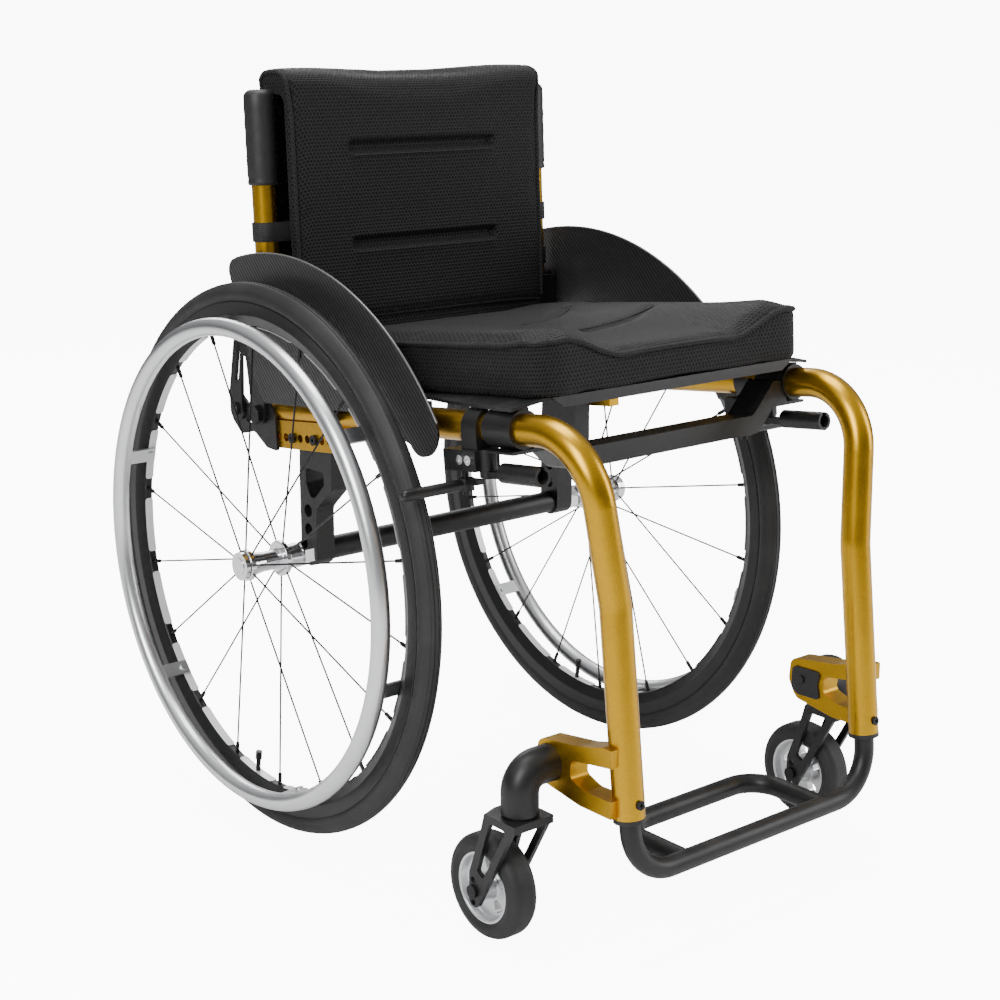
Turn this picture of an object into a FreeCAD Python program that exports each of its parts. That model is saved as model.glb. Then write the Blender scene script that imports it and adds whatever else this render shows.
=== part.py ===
"""Manual wheelchair with a rigid tubular frame and a folding backrest.

Lengths are in millimetres.  +X is the user's left, -Y is the front and +Z is up.  The origin
lies on the floor, under the middle of the chair.  Every dimension along the chair is measured
from the rear axle, and axle_y puts that axle in the chair's own frame.
"""
import FreeCAD, Part
import math
import os
import Sketcher

from FreeCAD import Placement, Rotation, Vector

doc = FreeCAD.newDocument("manual_wheelchair")
sheet = doc.addObject("Spreadsheet::Sheet", "sizes")

# name, value: the driving dimensions, in millimetres and degrees
SIZES = [
    # whole chair
    ("axle_y", 102.35), ("track_half", 237.0), ("running_gap", 0.05), ("body_gap", 0.3),
    # rear wheels
    ("wheel_radius", 295.0), ("tyre_section", 12.3), ("rim_inner", 250.5), ("rim_outer", 276.0),
    ("rim_width", 21.0), ("rim_nose", 8.0), ("spoke_radius", 1.0), ("nipple_radius", 2.1),
    ("nipple_length", 12.0), ("spoke_phase", 12.5), ("handrim_radius", 252.0),
    ("handrim_section", 9.5), ("handrim_offset", 35.0), ("tab_width", 16.0), ("tab_thickness", 3.0),
    ("hub_inner", 199.0), ("hub_outer", 266.0), ("hub_clearance", 0.4), ("bearing_radius", 10.5),
    ("bearing_width", 6.0), ("axle_radius", 6.0), ("button_radius", 9.0), ("button_travel", 3.0),
    # frame
    ("rail_x", 183.4), ("leg_x", 164.4), ("tube_radius", 15.0), ("tube_wall", 1.6),
    ("rail_height", 448.8), ("rail_pitch", 6.24), ("rail_rear", 50.0), ("rail_front", 443.4),
    ("knee_forward", 460.8), ("knee_height", 340.9), ("leg_forward", 482.9), ("leg_bottom", 146.3),
    ("top_bend", 65.0), ("knee_bend", 60.0),
    # axle carrier
    ("block_rear", 45.0), ("block_length", 120.0), ("block_outer", 198.3), ("block_depth", 14.3),
    ("block_height", 30.0), ("block_hole", 4.5), ("hole_pitch", 13.5), ("first_hole", 13.5),
    ("bracket_inner", 160.0), ("bracket_outer", 183.0), ("camber_radius", 12.5),
    ("receiver_radius", 9.0), ("nut_flats", 24.0), ("nut_length", 13.0),
    # casters
    ("caster_x", 223.0), ("stem_forward", 398.0), ("caster_trail", 39.5), ("caster_radius", 51.9),
    ("caster_half_width", 17.5), ("fork_half", 24.0), ("fork_blade", 5.0), ("crown_top", 136.5),
    ("housing_radius", 18.0), ("housing_bend", 20.0), ("housing_bottom", 139.0),
    ("housing_axis", 179.0), ("stem_radius", 5.0), ("stem_bearing", 11.0), ("caster_bolt", 4.0),
    ("arm_inner", 165.0), ("arm_outer", 187.0),
    # footrest
    ("foot_radius", 10.0), ("foot_bend", 48.0), ("foot_height", 86.0), ("foot_insert", 55.0),
    ("loop_half", 97.0), ("loop_rear", 397.0), ("loop_bend", 34.0), ("collar_length", 4.0),
    # seat, measured square to the rails
    ("pan_bottom", 24.0), ("pan_thickness", 3.0), ("pan_half", 170.0), ("pan_side", 200.0),
    ("pan_drop", 6.0), ("pan_front", 374.0), ("pan_rear", 60.0), ("lip_depth", 10.2),
    ("lip_half", 150.0), ("cushion_half", 190.0), ("cushion_front", 392.0),
    ("cushion_rear", 12.0), ("cushion_height", 53.0), ("cushion_gap", 0.5),
    # cross brace and clamps
    ("clamp_front", 359.5), ("clamp_length", 40.0), ("clamp_radius", 18.5),
    ("brace_top", 27.0), ("brace_height", 19.0), ("brace_wall", 3.0),
    # backrest, measured from the fold pivots
    ("cane_x", 185.5), ("cane_radius", 12.5), ("cane_wall", 1.6), ("cane_y", 52.7),
    ("cane_lean", 2.58), ("pivot_y", 57.0), ("pivot_z", 440.0), ("cane_bottom", 84.0),
    ("cane_top", 334.0), ("sleeve_radius", 16.0), ("sleeve_bottom", 243.0), ("sleeve_top", 341.0),
    ("pad_half", 174.0), ("pad_front", 36.0), ("pad_thickness", 19.0), ("pad_bottom", 92.0),
    ("pad_top", 355.0), ("flap_half", 167.0), ("strap_width", 20.0), ("strap_thickness", 1.8),
    ("back_bar_radius", 9.5), ("back_bar_y", 34.0), ("back_bar_z", 108.0),
    ("hinge_thickness", 3.4), ("swing_thickness", 4.0), ("pivot_bolt", 5.0),
    # side guards
    ("guard_inner", 208.8), ("guard_thickness", 2.5), ("guard_arc", 322.0),
    # brakes, measured square to the rails
    ("brake_x", 191.0), ("lever_pivot_y", 312.0), ("arm_pivot_y", 277.0), ("lever_length", 78.0),
    ("grip_radius", 9.5), ("brake_top", 19.5), ("brake_depth", 20.0), ("arm_drop", 55.2),
    ("rod_radius", 5.5), ("rod_reach", 71.0),
]
for row, (alias, size) in enumerate(SIZES, start=1):
    sheet.set(f"A{row}", alias)
    sheet.set(f"B{row}", str(size))
    sheet.setAlias(f"B{row}", alias)
doc.recompute()


class Size:
    """A number together with the sheet expression that gives it."""

    def __init__(self, value, text):
        self.value = float(value)
        self.text = text

    def __add__(self, other):
        other = size_of(other)
        return Size(self.value + other.value, f"({self.text} + {other.text})")

    def __sub__(self, other):
        other = size_of(other)
        return Size(self.value - other.value, f"({self.text} - {other.text})")

    def __mul__(self, other):
        other = size_of(other)
        return Size(self.value * other.value, f"({self.text} * {other.text})")

    def __truediv__(self, other):
        other = size_of(other)
        return Size(self.value / other.value, f"({self.text} / {other.text})")

    def __rsub__(self, other):
        return size_of(other) - self

    def __neg__(self):
        return Size(-self.value, f"(-{self.text})")

    __radd__ = __add__
    __rmul__ = __mul__


def size_of(number):
    """Give a plain number the same form as a cell of the sheet."""
    return number if isinstance(number, Size) else Size(number, f"{float(number):.6f}")


def sine(angle):
    return Size(math.sin(math.radians(angle.value)), f"sin({angle.text} * 1 deg)")


def cosine(angle):
    return Size(math.cos(math.radians(angle.value)), f"cos({angle.text} * 1 deg)")


class Sizes:
    """The sheet's cells as attributes."""

    def __getattr__(self, alias):
        return Size(sheet.get(alias), f"sizes.{alias}")


size = Sizes()
nodes = {}


# ---------------------------------------------------------------- document helpers

def bind(target, name, amount):
    """Tie a property of an object to the sheet."""
    target.setExpression(name, size_of(amount).text)


TURNS = {"Z": Rotation(), "X": Rotation(Vector(0, 1, 0), 90), "Y": Rotation(Vector(1, 0, 0), -90)}


def place(target, x=0, y=0, z=0, turn=Rotation()):
    """Put an object at a point that follows the sheet."""
    target.Placement = Placement(Vector(0, 0, 0), turn)
    for axis, amount in zip("xyz", (x, y, z)):
        bind(target, f"Placement.Base.{axis}", amount)
    return target


def cylinder(radius, length, start, axis="Z"):
    """A bar that runs along +axis from its start point."""
    bar = doc.addObject("Part::Cylinder", "bar")
    bind(bar, "Radius", radius)
    bind(bar, "Height", length)
    return place(bar, *start, turn=TURNS[axis])


def box(low, high):
    """A block between its lowest and highest corner."""
    block = doc.addObject("Part::Box", "block")
    for name, a, b in zip(("Length", "Width", "Height"), low, high):
        bind(block, name, size_of(b) - a)
    return place(block, *low)


def ring(outer, inner, length, start, axis="Z"):
    """A tube that runs along +axis from its start point."""
    return cut(cylinder(outer, length, start, axis), cylinder(inner, length, start, axis))


def cut(base, *tools):
    for tool in tools:
        result = doc.addObject("Part::Cut", "cut")
        result.Base = base
        result.Tool = tool
        base = result
    return base


def fuse(*pieces):
    result = doc.addObject("Part::MultiFuse", "joined")
    result.Shapes = list(pieces)
    return result


def common(first, second):
    result = doc.addObject("Part::MultiCommon", "overlap")
    result.Shapes = [first, second]
    return result


def group(*pieces):
    """Separate solids that share one node."""
    result = doc.addObject("Part::Compound", "group")
    result.Links = list(pieces)
    return result


def mirror(piece):
    """The same piece on the other side of the chair."""
    result = doc.addObject("Part::Mirroring", "mirrored")
    result.Source = piece
    result.Normal = Vector(1, 0, 0)
    return result


def plane_of(body, role):
    for feature in body.Origin.OriginFeatures:
        if feature.Role == role:
            return feature
    raise ValueError(role)


def new_body(name):
    return doc.addObject("PartDesign::Body", name)


def rounded_outline(sketch, corners):
    """Draw a closed outline through corners (u, v, radius), each tied to the sheet."""
    points = [Vector(size_of(u).value, size_of(v).value, 0) for u, v, _ in corners]
    radii = [size_of(radius).value for _, _, radius in corners]
    count = len(points)
    reach, leave = [], []
    for i, here in enumerate(points):
        to_last = (points[i - 1] - here).normalize()
        to_next = (points[(i + 1) % count] - here).normalize()
        half_angle = to_last.getAngle(to_next) / 2
        setback = radii[i] / math.tan(half_angle)
        reach.append(here + to_last * setback)
        leave.append(here + to_next * setback)
    for i in range(count):
        sketch.addGeometry(Part.LineSegment(leave[i], reach[(i + 1) % count]), False)
    constraints = []
    bound = []
    for i, (u, v, radius) in enumerate(corners):
        last = (i - 1) % count
        if radii[i] == 0:
            constraints.append(Sketcher.Constraint("Coincident", last, 2, i, 1))
            marker = i
        else:
            bisector = (reach[i] + leave[i]) * 0.5 - points[i]
            depth = bisector.Length
            half_chord = (reach[i] - leave[i]).Length / 2
            sagitta = radii[i] - math.sqrt(max(radii[i] ** 2 - half_chord ** 2, 0))
            middle = points[i] + bisector * ((depth - sagitta) / depth)
            arc = sketch.addGeometry(Part.Arc(reach[i], middle, leave[i]), False)
            starts_first = (sketch.getPoint(arc, 1) - reach[i]).Length < 1e-6
            first, second = (1, 2) if starts_first else (2, 1)
            marker = sketch.addGeometry(Part.Point(points[i]), True)
            constraints.append(Sketcher.Constraint("Tangent", last, 2, arc, first))
            constraints.append(Sketcher.Constraint("Tangent", arc, second, i, 1))
            constraints.append(Sketcher.Constraint("PointOnObject", marker, 1, last))
            constraints.append(Sketcher.Constraint("PointOnObject", marker, 1, i))
            bound.append((len(constraints), radius))
            constraints.append(Sketcher.Constraint("Radius", arc, radii[i]))
        for kind, amount in (("DistanceX", u), ("DistanceY", v)):
            bound.append((len(constraints), amount))
            constraints.append(Sketcher.Constraint(kind, -1, 1, marker, 1, size_of(amount).value))
    sketch.addConstraint(constraints)
    for index, amount in bound:
        if isinstance(amount, Size):
            sketch.setExpression(f"Constraints[{index}]", amount.text)


def outline_sketch(body, plane, corners, offset=0):
    """A closed outline on one of the body's own planes, moved along its normal."""
    sketch = body.newObject("Sketcher::SketchObject", "outline")
    sketch.AttachmentSupport = (plane_of(body, plane), [""])
    sketch.MapMode = "FlatFace"
    bind(sketch, "AttachmentOffset.Base.z", offset)
    rounded_outline(sketch, corners)
    return sketch


def pad(body, sketch, length):
    feature = body.newObject("PartDesign::Pad", "pad")
    feature.Profile = sketch
    bind(feature, "Length", length)
    return feature


def pocket_through(body, sketch, length, backwards=False):
    feature = body.newObject("PartDesign::Pocket", "pocket")
    feature.Profile = sketch
    feature.Reversed = not backwards
    bind(feature, "Length", length)
    return feature


def revolve(body, sketch):
    """Turn a profile about the sketch's horizontal axis."""
    feature = body.newObject("PartDesign::Revolution", "turned")
    feature.Profile = sketch
    feature.ReferenceAxis = (sketch, ["H_Axis"])
    feature.Angle = 360
    return feature


def plate(name, corners, low_x, thickness, windows=()):
    """A flat plate in the YZ plane with rounded corners and windows."""
    body = new_body(name)
    pad(body, outline_sketch(body, "YZ_Plane", corners, low_x), thickness)
    for window in windows:
        opening = outline_sketch(body, "YZ_Plane", window, low_x)
        pocket_through(body, opening, thickness)
    return body


def from_shape(name, shape):
    feature = doc.addObject("Part::Feature", name)
    feature.Shape = shape
    return feature


def bent_path(points, bends):
    """Straight runs joined by tangent arcs: one bend radius for each inner point."""
    edges = []
    last = points[0]
    for here, following, radius in zip(points[1:-1], points[2:], bends):
        to_last = (last - here).normalize()
        to_next = (following - here).normalize()
        half_angle = to_last.getAngle(to_next) / 2
        setback = radius / math.tan(half_angle)
        start = here + to_last * setback
        end = here + to_next * setback
        towards = (to_last + to_next).normalize()
        middle = here + towards * (radius / math.sin(half_angle) - radius)
        edges.append(Part.LineSegment(last, start).toShape())
        edges.append(Part.Arc(start, middle, end).toShape())
        last = end
    edges.append(Part.LineSegment(last, points[-1]).toShape())
    return Part.Wire(edges)


def swept_bar(points, bends, radius):
    """A round bar along straight runs and tangent arcs."""
    path = bent_path(points, bends)
    direction = (points[1] - points[0]).normalize()
    section = Part.Wire([Part.Circle(points[0], direction, radius).toShape()])
    return path.makePipeShell([section], True, False)


def publish(name, piece):
    """Make an object the named sub-part, written to its own file."""
    piece.Label = name
    nodes[name] = piece


def publish_sides(name, left):
    """The same sub-part on both sides, as two nodes."""
    publish(f"{name}_left", left)
    publish(f"{name}_right", mirror(left))


def publish_pair(name, left):
    """The same sub-part on both sides, as two solids of one node."""
    publish(name, group(left, mirror(left)))


def at_axle(piece):
    """Place a piece whose dimensions run from the rear axle line on the floor."""
    return place(piece, 0, size.axle_y, 0)


def at_wheel(piece):
    """Place a piece whose dimensions run from the wheel's centre."""
    return place(piece, 0, size.axle_y, size.wheel_radius)


def on_rails(piece):
    """Place a piece whose dimensions run from the rails' axis, above the rear axle."""
    target = place(piece, 0, size.axle_y, size.rail_height, Rotation(Vector(-1, 0, 0), 1))
    bind(target, "Placement.Rotation.Angle", size.rail_pitch)
    return target


def on_backrest(piece):
    """Place a piece whose dimensions run up the canes' axis, from the fold pivots."""
    target = place(piece, 0, size.axle_y + size.cane_y, size.pivot_z, Rotation(Vector(-1, 0, 0), 1))
    bind(target, "Placement.Rotation.Angle", size.cane_lean)
    return target



# ---------------------------------------------------------------- rear wheels

def wheel_tyre():
    torus = doc.addObject("Part::Torus", "tyre_ring")
    bind(torus, "Radius1", size.wheel_radius - size.tyre_section)
    bind(torus, "Radius2", size.tyre_section)
    return place(torus, size.track_half, size.axle_y, size.wheel_radius, TURNS["X"])


def wheel_rim():
    """A deep aero rim whose outer groove fits the tyre."""
    body = new_body("rim_section")
    half = size.rim_width / 2
    nose = size.rim_nose / 2
    corners = [
        (size.track_half - nose, size.rim_inner, 2), (size.track_half + nose, size.rim_inner, 2),
        (size.track_half + half, size.rim_inner + 12, 3), (size.track_half + half, size.rim_outer, 1),
        (size.track_half - half, size.rim_outer, 1), (size.track_half - half, size.rim_inner + 12, 3),
    ]
    revolve(body, outline_sketch(body, "XY_Plane", corners))
    return cut(at_wheel(body), wheel_tyre())


def wheel_point(x, radius, angle):
    """A point in the wheel: the angle runs from the front, up and over."""
    turn = math.radians(angle)
    return Vector(x, size.axle_y.value - radius * math.cos(turn),
                  size.wheel_radius.value + radius * math.sin(turn))


def rod_between(start, end, radius):
    return Part.makeCylinder(radius, (end - start).Length, start, end - start)


SPOKES = 18
VALVE_ANGLE = 262.5


def wheel_spokes():
    """Straight spokes, by turns from the outer and the inner flange, with their nipples."""
    rods = []
    for k in range(SPOKES):
        angle = size.spoke_phase.value + 360 / SPOKES * k
        flange_x, flange_radius = FLANGES[k % 2]
        hub_end = wheel_point(flange_x.value, flange_radius.value + 0.2, angle)
        lean = abs(flange_x.value - size.track_half.value) / (size.rim_inner - flange_radius).value
        nipple_top = size.rim_inner.value - 0.08 - size.nipple_radius.value * lean
        rim_end = wheel_point(size.track_half.value, nipple_top, angle)
        along = (rim_end - hub_end).normalize()
        collar = rim_end - along * size.nipple_length.value
        shaft = rod_between(hub_end, collar, size.spoke_radius.value)
        nipple = rod_between(collar, rim_end, size.nipple_radius.value)
        rods.append(shaft.fuse(nipple))
    stem_foot = wheel_point(size.track_half.value, size.rim_inner.value - 0.1, VALVE_ANGLE)
    stem_tip = wheel_point(size.track_half.value, size.rim_inner.value - 24, VALVE_ANGLE)
    cap_foot = wheel_point(size.track_half.value, size.rim_inner.value - 15, VALVE_ANGLE)
    stem = rod_between(stem_foot, cap_foot, 2.6).fuse(rod_between(cap_foot, stem_tip, 3.6))
    rods.append(stem)
    return from_shape("spoke_set", Part.Compound(rods))


# the outer and the inner flange: their place along the axle and their radius
OUTER_FLANGE = (size.hub_outer - 4, size_of(16.5))
INNER_FLANGE = (size.hub_inner + 21, size_of(19))
FLANGES = (OUTER_FLANGE, INNER_FLANGE)
HUB_BORE = size.axle_radius + size.hub_clearance


def wheel_hub():
    """A turned hub shell with two flanges, and the two bearings inside it."""
    body = new_body("hub_shell")
    waist = 10.5
    corners = [
        (size.hub_inner, size.bearing_radius, 0), (size.hub_inner, 13.5, 1),
        (size.hub_inner + 18, 12, 0), (size.hub_inner + 18, INNER_FLANGE[1], 1),
        (size.hub_inner + 24, INNER_FLANGE[1], 1), (size.hub_inner + 24, waist, 1),
        (size.hub_outer - 22, waist, 0), (size.hub_outer - 7, 13, 0),
        (size.hub_outer - 7, OUTER_FLANGE[1], 1), (size.hub_outer - 1, OUTER_FLANGE[1], 1),
        (size.hub_outer, 13, 0), (size.hub_outer, size.bearing_radius, 0),
        (size.hub_outer - size.bearing_width, size.bearing_radius, 0),
        (size.hub_outer - size.bearing_width, HUB_BORE, 0),
        (size.hub_inner + size.bearing_width, HUB_BORE, 0),
        (size.hub_inner + size.bearing_width, size.bearing_radius, 0),
    ]
    revolve(body, outline_sketch(body, "XY_Plane", corners))
    shell = at_wheel(body)
    inside = size.axle_radius + size.running_gap
    outside = size.bearing_radius - 0.02
    bearings = [
        ring(outside, inside, size.bearing_width - 0.5, (x, size.axle_y, size.wheel_radius), "X")
        for x in (size.hub_inner + 0.3, size.hub_outer - size.bearing_width + 0.2)
    ]
    return group(shell, *bearings)


def handrim_ring(radius):
    torus = doc.addObject("Part::Torus", "handrim_ring")
    bind(torus, "Radius1", size.handrim_radius)
    bind(torus, "Radius2", radius)
    centre = size.track_half + size.handrim_offset
    return place(torus, centre, size.axle_y, size.wheel_radius, TURNS["X"])


TABS = 6
TAB_PHASE = 42.5


def handrim_tabs():
    """Flat tabs under the rim that carry the handrim, each with its button screw."""
    rim_side = size.track_half.value
    reach = size.handrim_offset.value
    thickness = size.tab_thickness.value
    width = size.tab_width.value
    grip = Part.makeTorus(size.handrim_radius.value, size.handrim_section.value + 0.02,
                          wheel_point(rim_side + reach, 0, 0), Vector(1, 0, 0))
    tabs = []
    for k in range(TABS):
        low = Vector(rim_side - 3.5, -width / 2, size.rim_inner.value - thickness - 0.3)
        tab = Part.makeBox(reach, width, thickness, low)
        screw = Part.makeCylinder(4.2, 2.2, low + Vector(6, width / 2, -2.2))
        piece = tab.fuse(screw)
        piece.rotate(Vector(), Vector(1, 0, 0), 90 - TAB_PHASE - 360 / TABS * k)
        piece.translate(wheel_point(0, 0, 0))
        tabs.append(piece.cut(grip))
    return from_shape("tab_set", Part.Compound(tabs))


def axle_pin():
    """The quick-release pin: it runs through the hub into the receiver, with a hollow head."""
    centre = (size.axle_y, size.wheel_radius)
    head_x = size.hub_outer + size.body_gap
    shaft = cylinder(size.axle_radius, head_x - size.bracket_inner, (size.bracket_inner, *centre), "X")
    head = cylinder(15, 4.6, (head_x, *centre), "X")
    socket = cylinder(size.button_radius + 0.1, size.button_travel + 1.2, (head_x + 1, *centre), "X")
    return cut(fuse(shaft, head), socket)


def axle_button():
    """The button that frees the pin: pressed inwards by its travel."""
    face = size.hub_outer + size.body_gap + 5.4
    button = cylinder(size.button_radius, 1.4, (face - 1.4, size.axle_y, size.wheel_radius), "X")
    return group(button)


# ---------------------------------------------------------------- frame tubes

def frame_points():
    """The tube's corners: rail end, front corner, knee and lower end."""
    slope = math.tan(math.radians(size.rail_pitch.value))
    rail_height = size.rail_height.value
    return [
        Vector(size.rail_x.value, size.rail_rear.value, rail_height - size.rail_rear.value * slope),
        Vector(size.rail_x.value, -size.rail_front.value, rail_height + size.rail_front.value * slope),
        Vector(size.leg_x.value, -size.knee_forward.value, size.knee_height.value),
        Vector(size.leg_x.value, -size.leg_forward.value, size.leg_bottom.value),
    ]


def frame_sweep(radius):
    bends = (size.top_bend.value, size.knee_bend.value)
    return swept_bar(frame_points(), bends, radius)


def frame_tube():
    outer = frame_sweep(size.tube_radius.value)
    inner = frame_sweep(size.tube_radius.value - size.tube_wall.value)
    return at_axle(from_shape("frame_sweep", outer.cut(inner)))


def leg_axis():
    """The lower leg's end point and its direction, down the leg."""
    knee, foot = frame_points()[2:]
    return foot, (foot - knee).normalize()


def tube_collar():
    """The plastic bush between the frame leg and the footrest tube, with a flange below."""
    foot, down = leg_axis()
    bore = size.foot_radius.value + 0.05
    sleeve_radius = size.tube_radius.value - size.tube_wall.value - 0.05
    sleeve = Part.makeCylinder(sleeve_radius, 30, foot - down * 30, down)
    flange_radius = size.tube_radius.value + 0.3
    flange = Part.makeCylinder(flange_radius, size.collar_length.value, foot + down * 0.05, down)
    hole = Part.makeCylinder(bore, 60, foot - down * 40, down)
    return at_axle(from_shape("bush", sleeve.fuse(flange).cut(hole)))


def footrest_corners():
    """The footrest tube's inserted end and its lower corner, on the leg's axis."""
    foot, down = leg_axis()
    drop = (foot.z - size.foot_height.value) / -down.z
    return foot - down * size.foot_insert.value, foot + down * drop


def across(point):
    return Vector(-point.x, point.y, point.z)


def footrest_bow():
    """One tube from leg to leg, under the user's feet."""
    top, corner = footrest_corners()
    points = [top, corner, across(corner), across(top)]
    bend = size.foot_bend.value
    return at_axle(from_shape("bow_sweep", swept_bar(points, (bend, bend), size.foot_radius.value)))


def footrest_loop():
    """The rear part of the footrest: two legs and a rear bar, welded to the bow."""
    front = footrest_corners()[1]
    half, rear = size.loop_half.value, -size.loop_rear.value
    points = [Vector(half, front.y, front.z), Vector(half, rear, front.z),
              Vector(-half, rear, front.z), Vector(-half, front.y, front.z)]
    bend = size.loop_bend.value
    loop = swept_bar(points, (bend, bend), size.foot_radius.value)
    bar_end = Vector(-half - 30, front.y, front.z)
    bar = Part.makeCylinder(size.foot_radius.value + 0.02, 2 * half + 60, bar_end, Vector(1, 0, 0))
    return at_axle(from_shape("loop_sweep", loop.cut(bar)))


# ---------------------------------------------------------------- axle carrier

def rail_cylinder(radius, low_y, high_y):
    """A cylinder on the rail's axis, between two places along the rail."""
    return cylinder(radius, size_of(high_y) - low_y, (size.rail_x, low_y, 0), "Y")


def hole_y(k):
    return size.block_rear - size.first_hole - size.hole_pitch * k


HOLES = 8
BOLT_HOLES = (2, 5)
BLOCK_TOP = -8.0


def axle_rail():
    """The drilled block under the rail that sets where the axle bracket sits."""
    inner = size.block_outer - size.block_depth
    low = BLOCK_TOP - size.block_height
    front = size.block_rear - size.block_length
    block = box((inner, front, low), (size.block_outer, size.block_rear, BLOCK_TOP))
    seat = rail_cylinder(size.tube_radius + 0.02, -200, 200)
    holes = [
        cylinder(size.block_hole, 30, (inner - 5, hole_y(k), low + 12), "X") for k in range(HOLES)
    ]
    return on_rails(cut(block, seat, *holes))


def rail_bolts():
    """The two bolts that hold the axle bracket to the drilled block."""
    z = BLOCK_TOP - size.block_height + 12
    bolts = []
    for k in BOLT_HOLES:
        shank = cylinder(3, 24, (size.block_outer - 22, hole_y(k), z), "X")
        head = cylinder(5.5, 3, (size.block_outer, hole_y(k), z), "X")
        socket = cylinder(2, 2.5, (size.block_outer + 0.8, hole_y(k), z), "X")
        bolts.append(cut(fuse(shank, head), socket))
    return on_rails(group(*bolts))


def axle_bracket():
    """The black forked plate that hangs the axle under the rail."""
    axle = size.wheel_radius
    corners = [
        (13, 427, 3), (-45, 427, 3), (-45, 372, 10), (-15, 345, 12),
        (-15, axle - 15, 14.5), (15, axle - 15, 14.5), (15, 372, 10),
    ]
    window = [(3, 388, 5), (-31, 388, 5), (-31, 374, 6), (-13, 357, 5), (-5, 357, 5), (3, 372, 6)]
    thickness = size.bracket_outer - size.bracket_inner
    blank = plate("bracket_plate", corners, size.bracket_inner, thickness, [window])
    holes = [cylinder(7, 40, (size.bracket_inner - 5, 0, z), "X") for z in (341, 320)]
    bore = cylinder(size.receiver_radius + 0.02, 40, (size.bracket_inner - 5, 0, axle), "X")
    bolt_holes = [bracket_bolt_hole(k) for k in BOLT_HOLES]
    rail = bracket_rail_space()
    return at_axle(cut(blank, *holes, bore, *bolt_holes, rail))


def rail_point(y, z):
    """A point given square to the rails, as axle coordinates."""
    lean = size.rail_pitch
    return y * cosine(lean) + z * sine(lean), size.rail_height - y * sine(lean) + z * cosine(lean)


def bracket_bolt_hole(k):
    """The hole through the bracket behind one of the block's bolt holes."""
    y, z = rail_point(hole_y(k), BLOCK_TOP - size.block_height + 12)
    return cylinder(3.02, 30, (size.bracket_inner + 10, y, z), "X")


def bracket_rail_space():
    """The rail's space, cut out of the bracket's top."""
    bar = cylinder(size.tube_radius + 0.2, 400, (0, 0, 0), "Y")
    rail = group(bar)
    target = place(rail, size.rail_x, -200 * cosine(size.rail_pitch),
                   size.rail_height + 200 * sine(size.rail_pitch), Rotation(Vector(-1, 0, 0), 1))
    bind(target, "Placement.Rotation.Angle", size.rail_pitch)
    return target


def camber_tube():
    inner = size.bracket_inner - 0.02
    return group(ring(size.camber_radius, size.receiver_radius + 0.2, inner * 2,
                      (-inner, size.axle_y, size.wheel_radius), "X"))


def hexagon(flats, length, start):
    """A hexagonal nut along +X."""
    prism = doc.addObject("Part::Prism", "nut")
    prism.Polygon = 6
    bind(prism, "Circumradius", flats / 2 / math.cos(math.pi / 6))
    bind(prism, "Height", length)
    return place(prism, *start, turn=TURNS["X"])


def axle_receiver():
    """The threaded sleeve in the bracket, with its nut, that takes the quick-release pin."""
    centre = (size.axle_y, size.wheel_radius)
    start = size.bracket_inner - 35
    end = size.hub_inner - size.body_gap
    sleeve = cylinder(size.receiver_radius, end - start, (start, *centre), "X")
    nut = hexagon(size.nut_flats, size.nut_length, (size.bracket_outer + 0.02, *centre))
    bore = cylinder(size.axle_radius + size.running_gap, end - start + 2, (start - 1, *centre), "X")
    return cut(fuse(sleeve, nut), bore)


# ---------------------------------------------------------------- casters

def caster_arm():
    """The forged arm from the frame leg to the caster housing, open in its middle."""
    head_y, axis = -size.stem_forward, size.housing_axis
    corners = [
        (head_y + 18, axis - 4, 10), (head_y + 16, axis + 20, 10), (-440, 207, 25),
        (-470, 215, 0), (-482, 215, 0), (-482, 149, 0),
        (-470, 149, 0), (-440, 149, 18), (head_y + 8, axis - 22, 12),
    ]
    window = [
        (head_y - 30, axis + 11, 6), (-490, 199, 1), (-490, 166, 1), (-446, 165, 12),
        (head_y - 29, axis - 7, 6),
    ]
    body = plate("arm_plate", corners, size.arm_inner, size.arm_outer - size.arm_inner, [window])
    leg = at_leg(size.tube_radius + 0.02)
    return at_axle(cut(body, leg))


def at_leg(radius):
    foot, down = leg_axis()
    return from_shape("leg_space", Part.makeCylinder(radius.value, 160, foot - down * 140, down))


def arm_cover():
    """The dark inlay on the arm's inner face, with its screw."""
    head_y, axis = -size.stem_forward, size.housing_axis
    corners = [
        (head_y + 13, axis - 12, 8), (head_y + 12, axis + 13, 6), (head_y - 26, axis + 14, 4),
        (head_y - 22, axis, 8), (head_y - 26, axis - 16, 4), (head_y + 4, axis - 17, 6),
    ]
    body = plate("inlay_plate", corners, size.arm_inner - 1.6, 1.58)
    screw = cylinder(4.5, 2, (size.arm_inner - 3.5, -size.stem_forward, axis), "X")
    return at_axle(fuse(body, screw))


def caster_housing():
    """The elbow that turns the arm's axis down to the caster stem."""
    forward = size.axle_y - size.stem_forward
    radius, bend = size.housing_radius, size.housing_bend
    corner_z = size.housing_axis - bend
    across_x = size.caster_x - bend
    start_x = size.arm_outer + 0.02
    level = cylinder(radius, across_x - start_x, (start_x, forward, size.housing_axis), "X")
    elbow = doc.addObject("Part::Torus", "elbow")
    bind(elbow, "Radius1", bend)
    bind(elbow, "Radius2", radius)
    elbow.Angle3 = 90
    place(elbow, across_x, forward, corner_z, TURNS["Y"] * Rotation(Vector(0, 0, 1), -90))
    bottom = size.housing_bottom
    drop = cylinder(radius, corner_z - bottom, (size.caster_x, forward, bottom), "Z")
    bore = cylinder(size.stem_bearing + 0.02, 31, (size.caster_x, forward, bottom - 1), "Z")
    return cut(fuse(level, elbow, drop), bore)


def stem_bearings():
    forward = size.axle_y - size.stem_forward
    inside = size.stem_radius + size.running_gap
    return group(*[
        ring(size.stem_bearing, inside, 7, (size.caster_x, forward, size.housing_bottom + up), "Z")
        for up in (1, 21)
    ])


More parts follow.
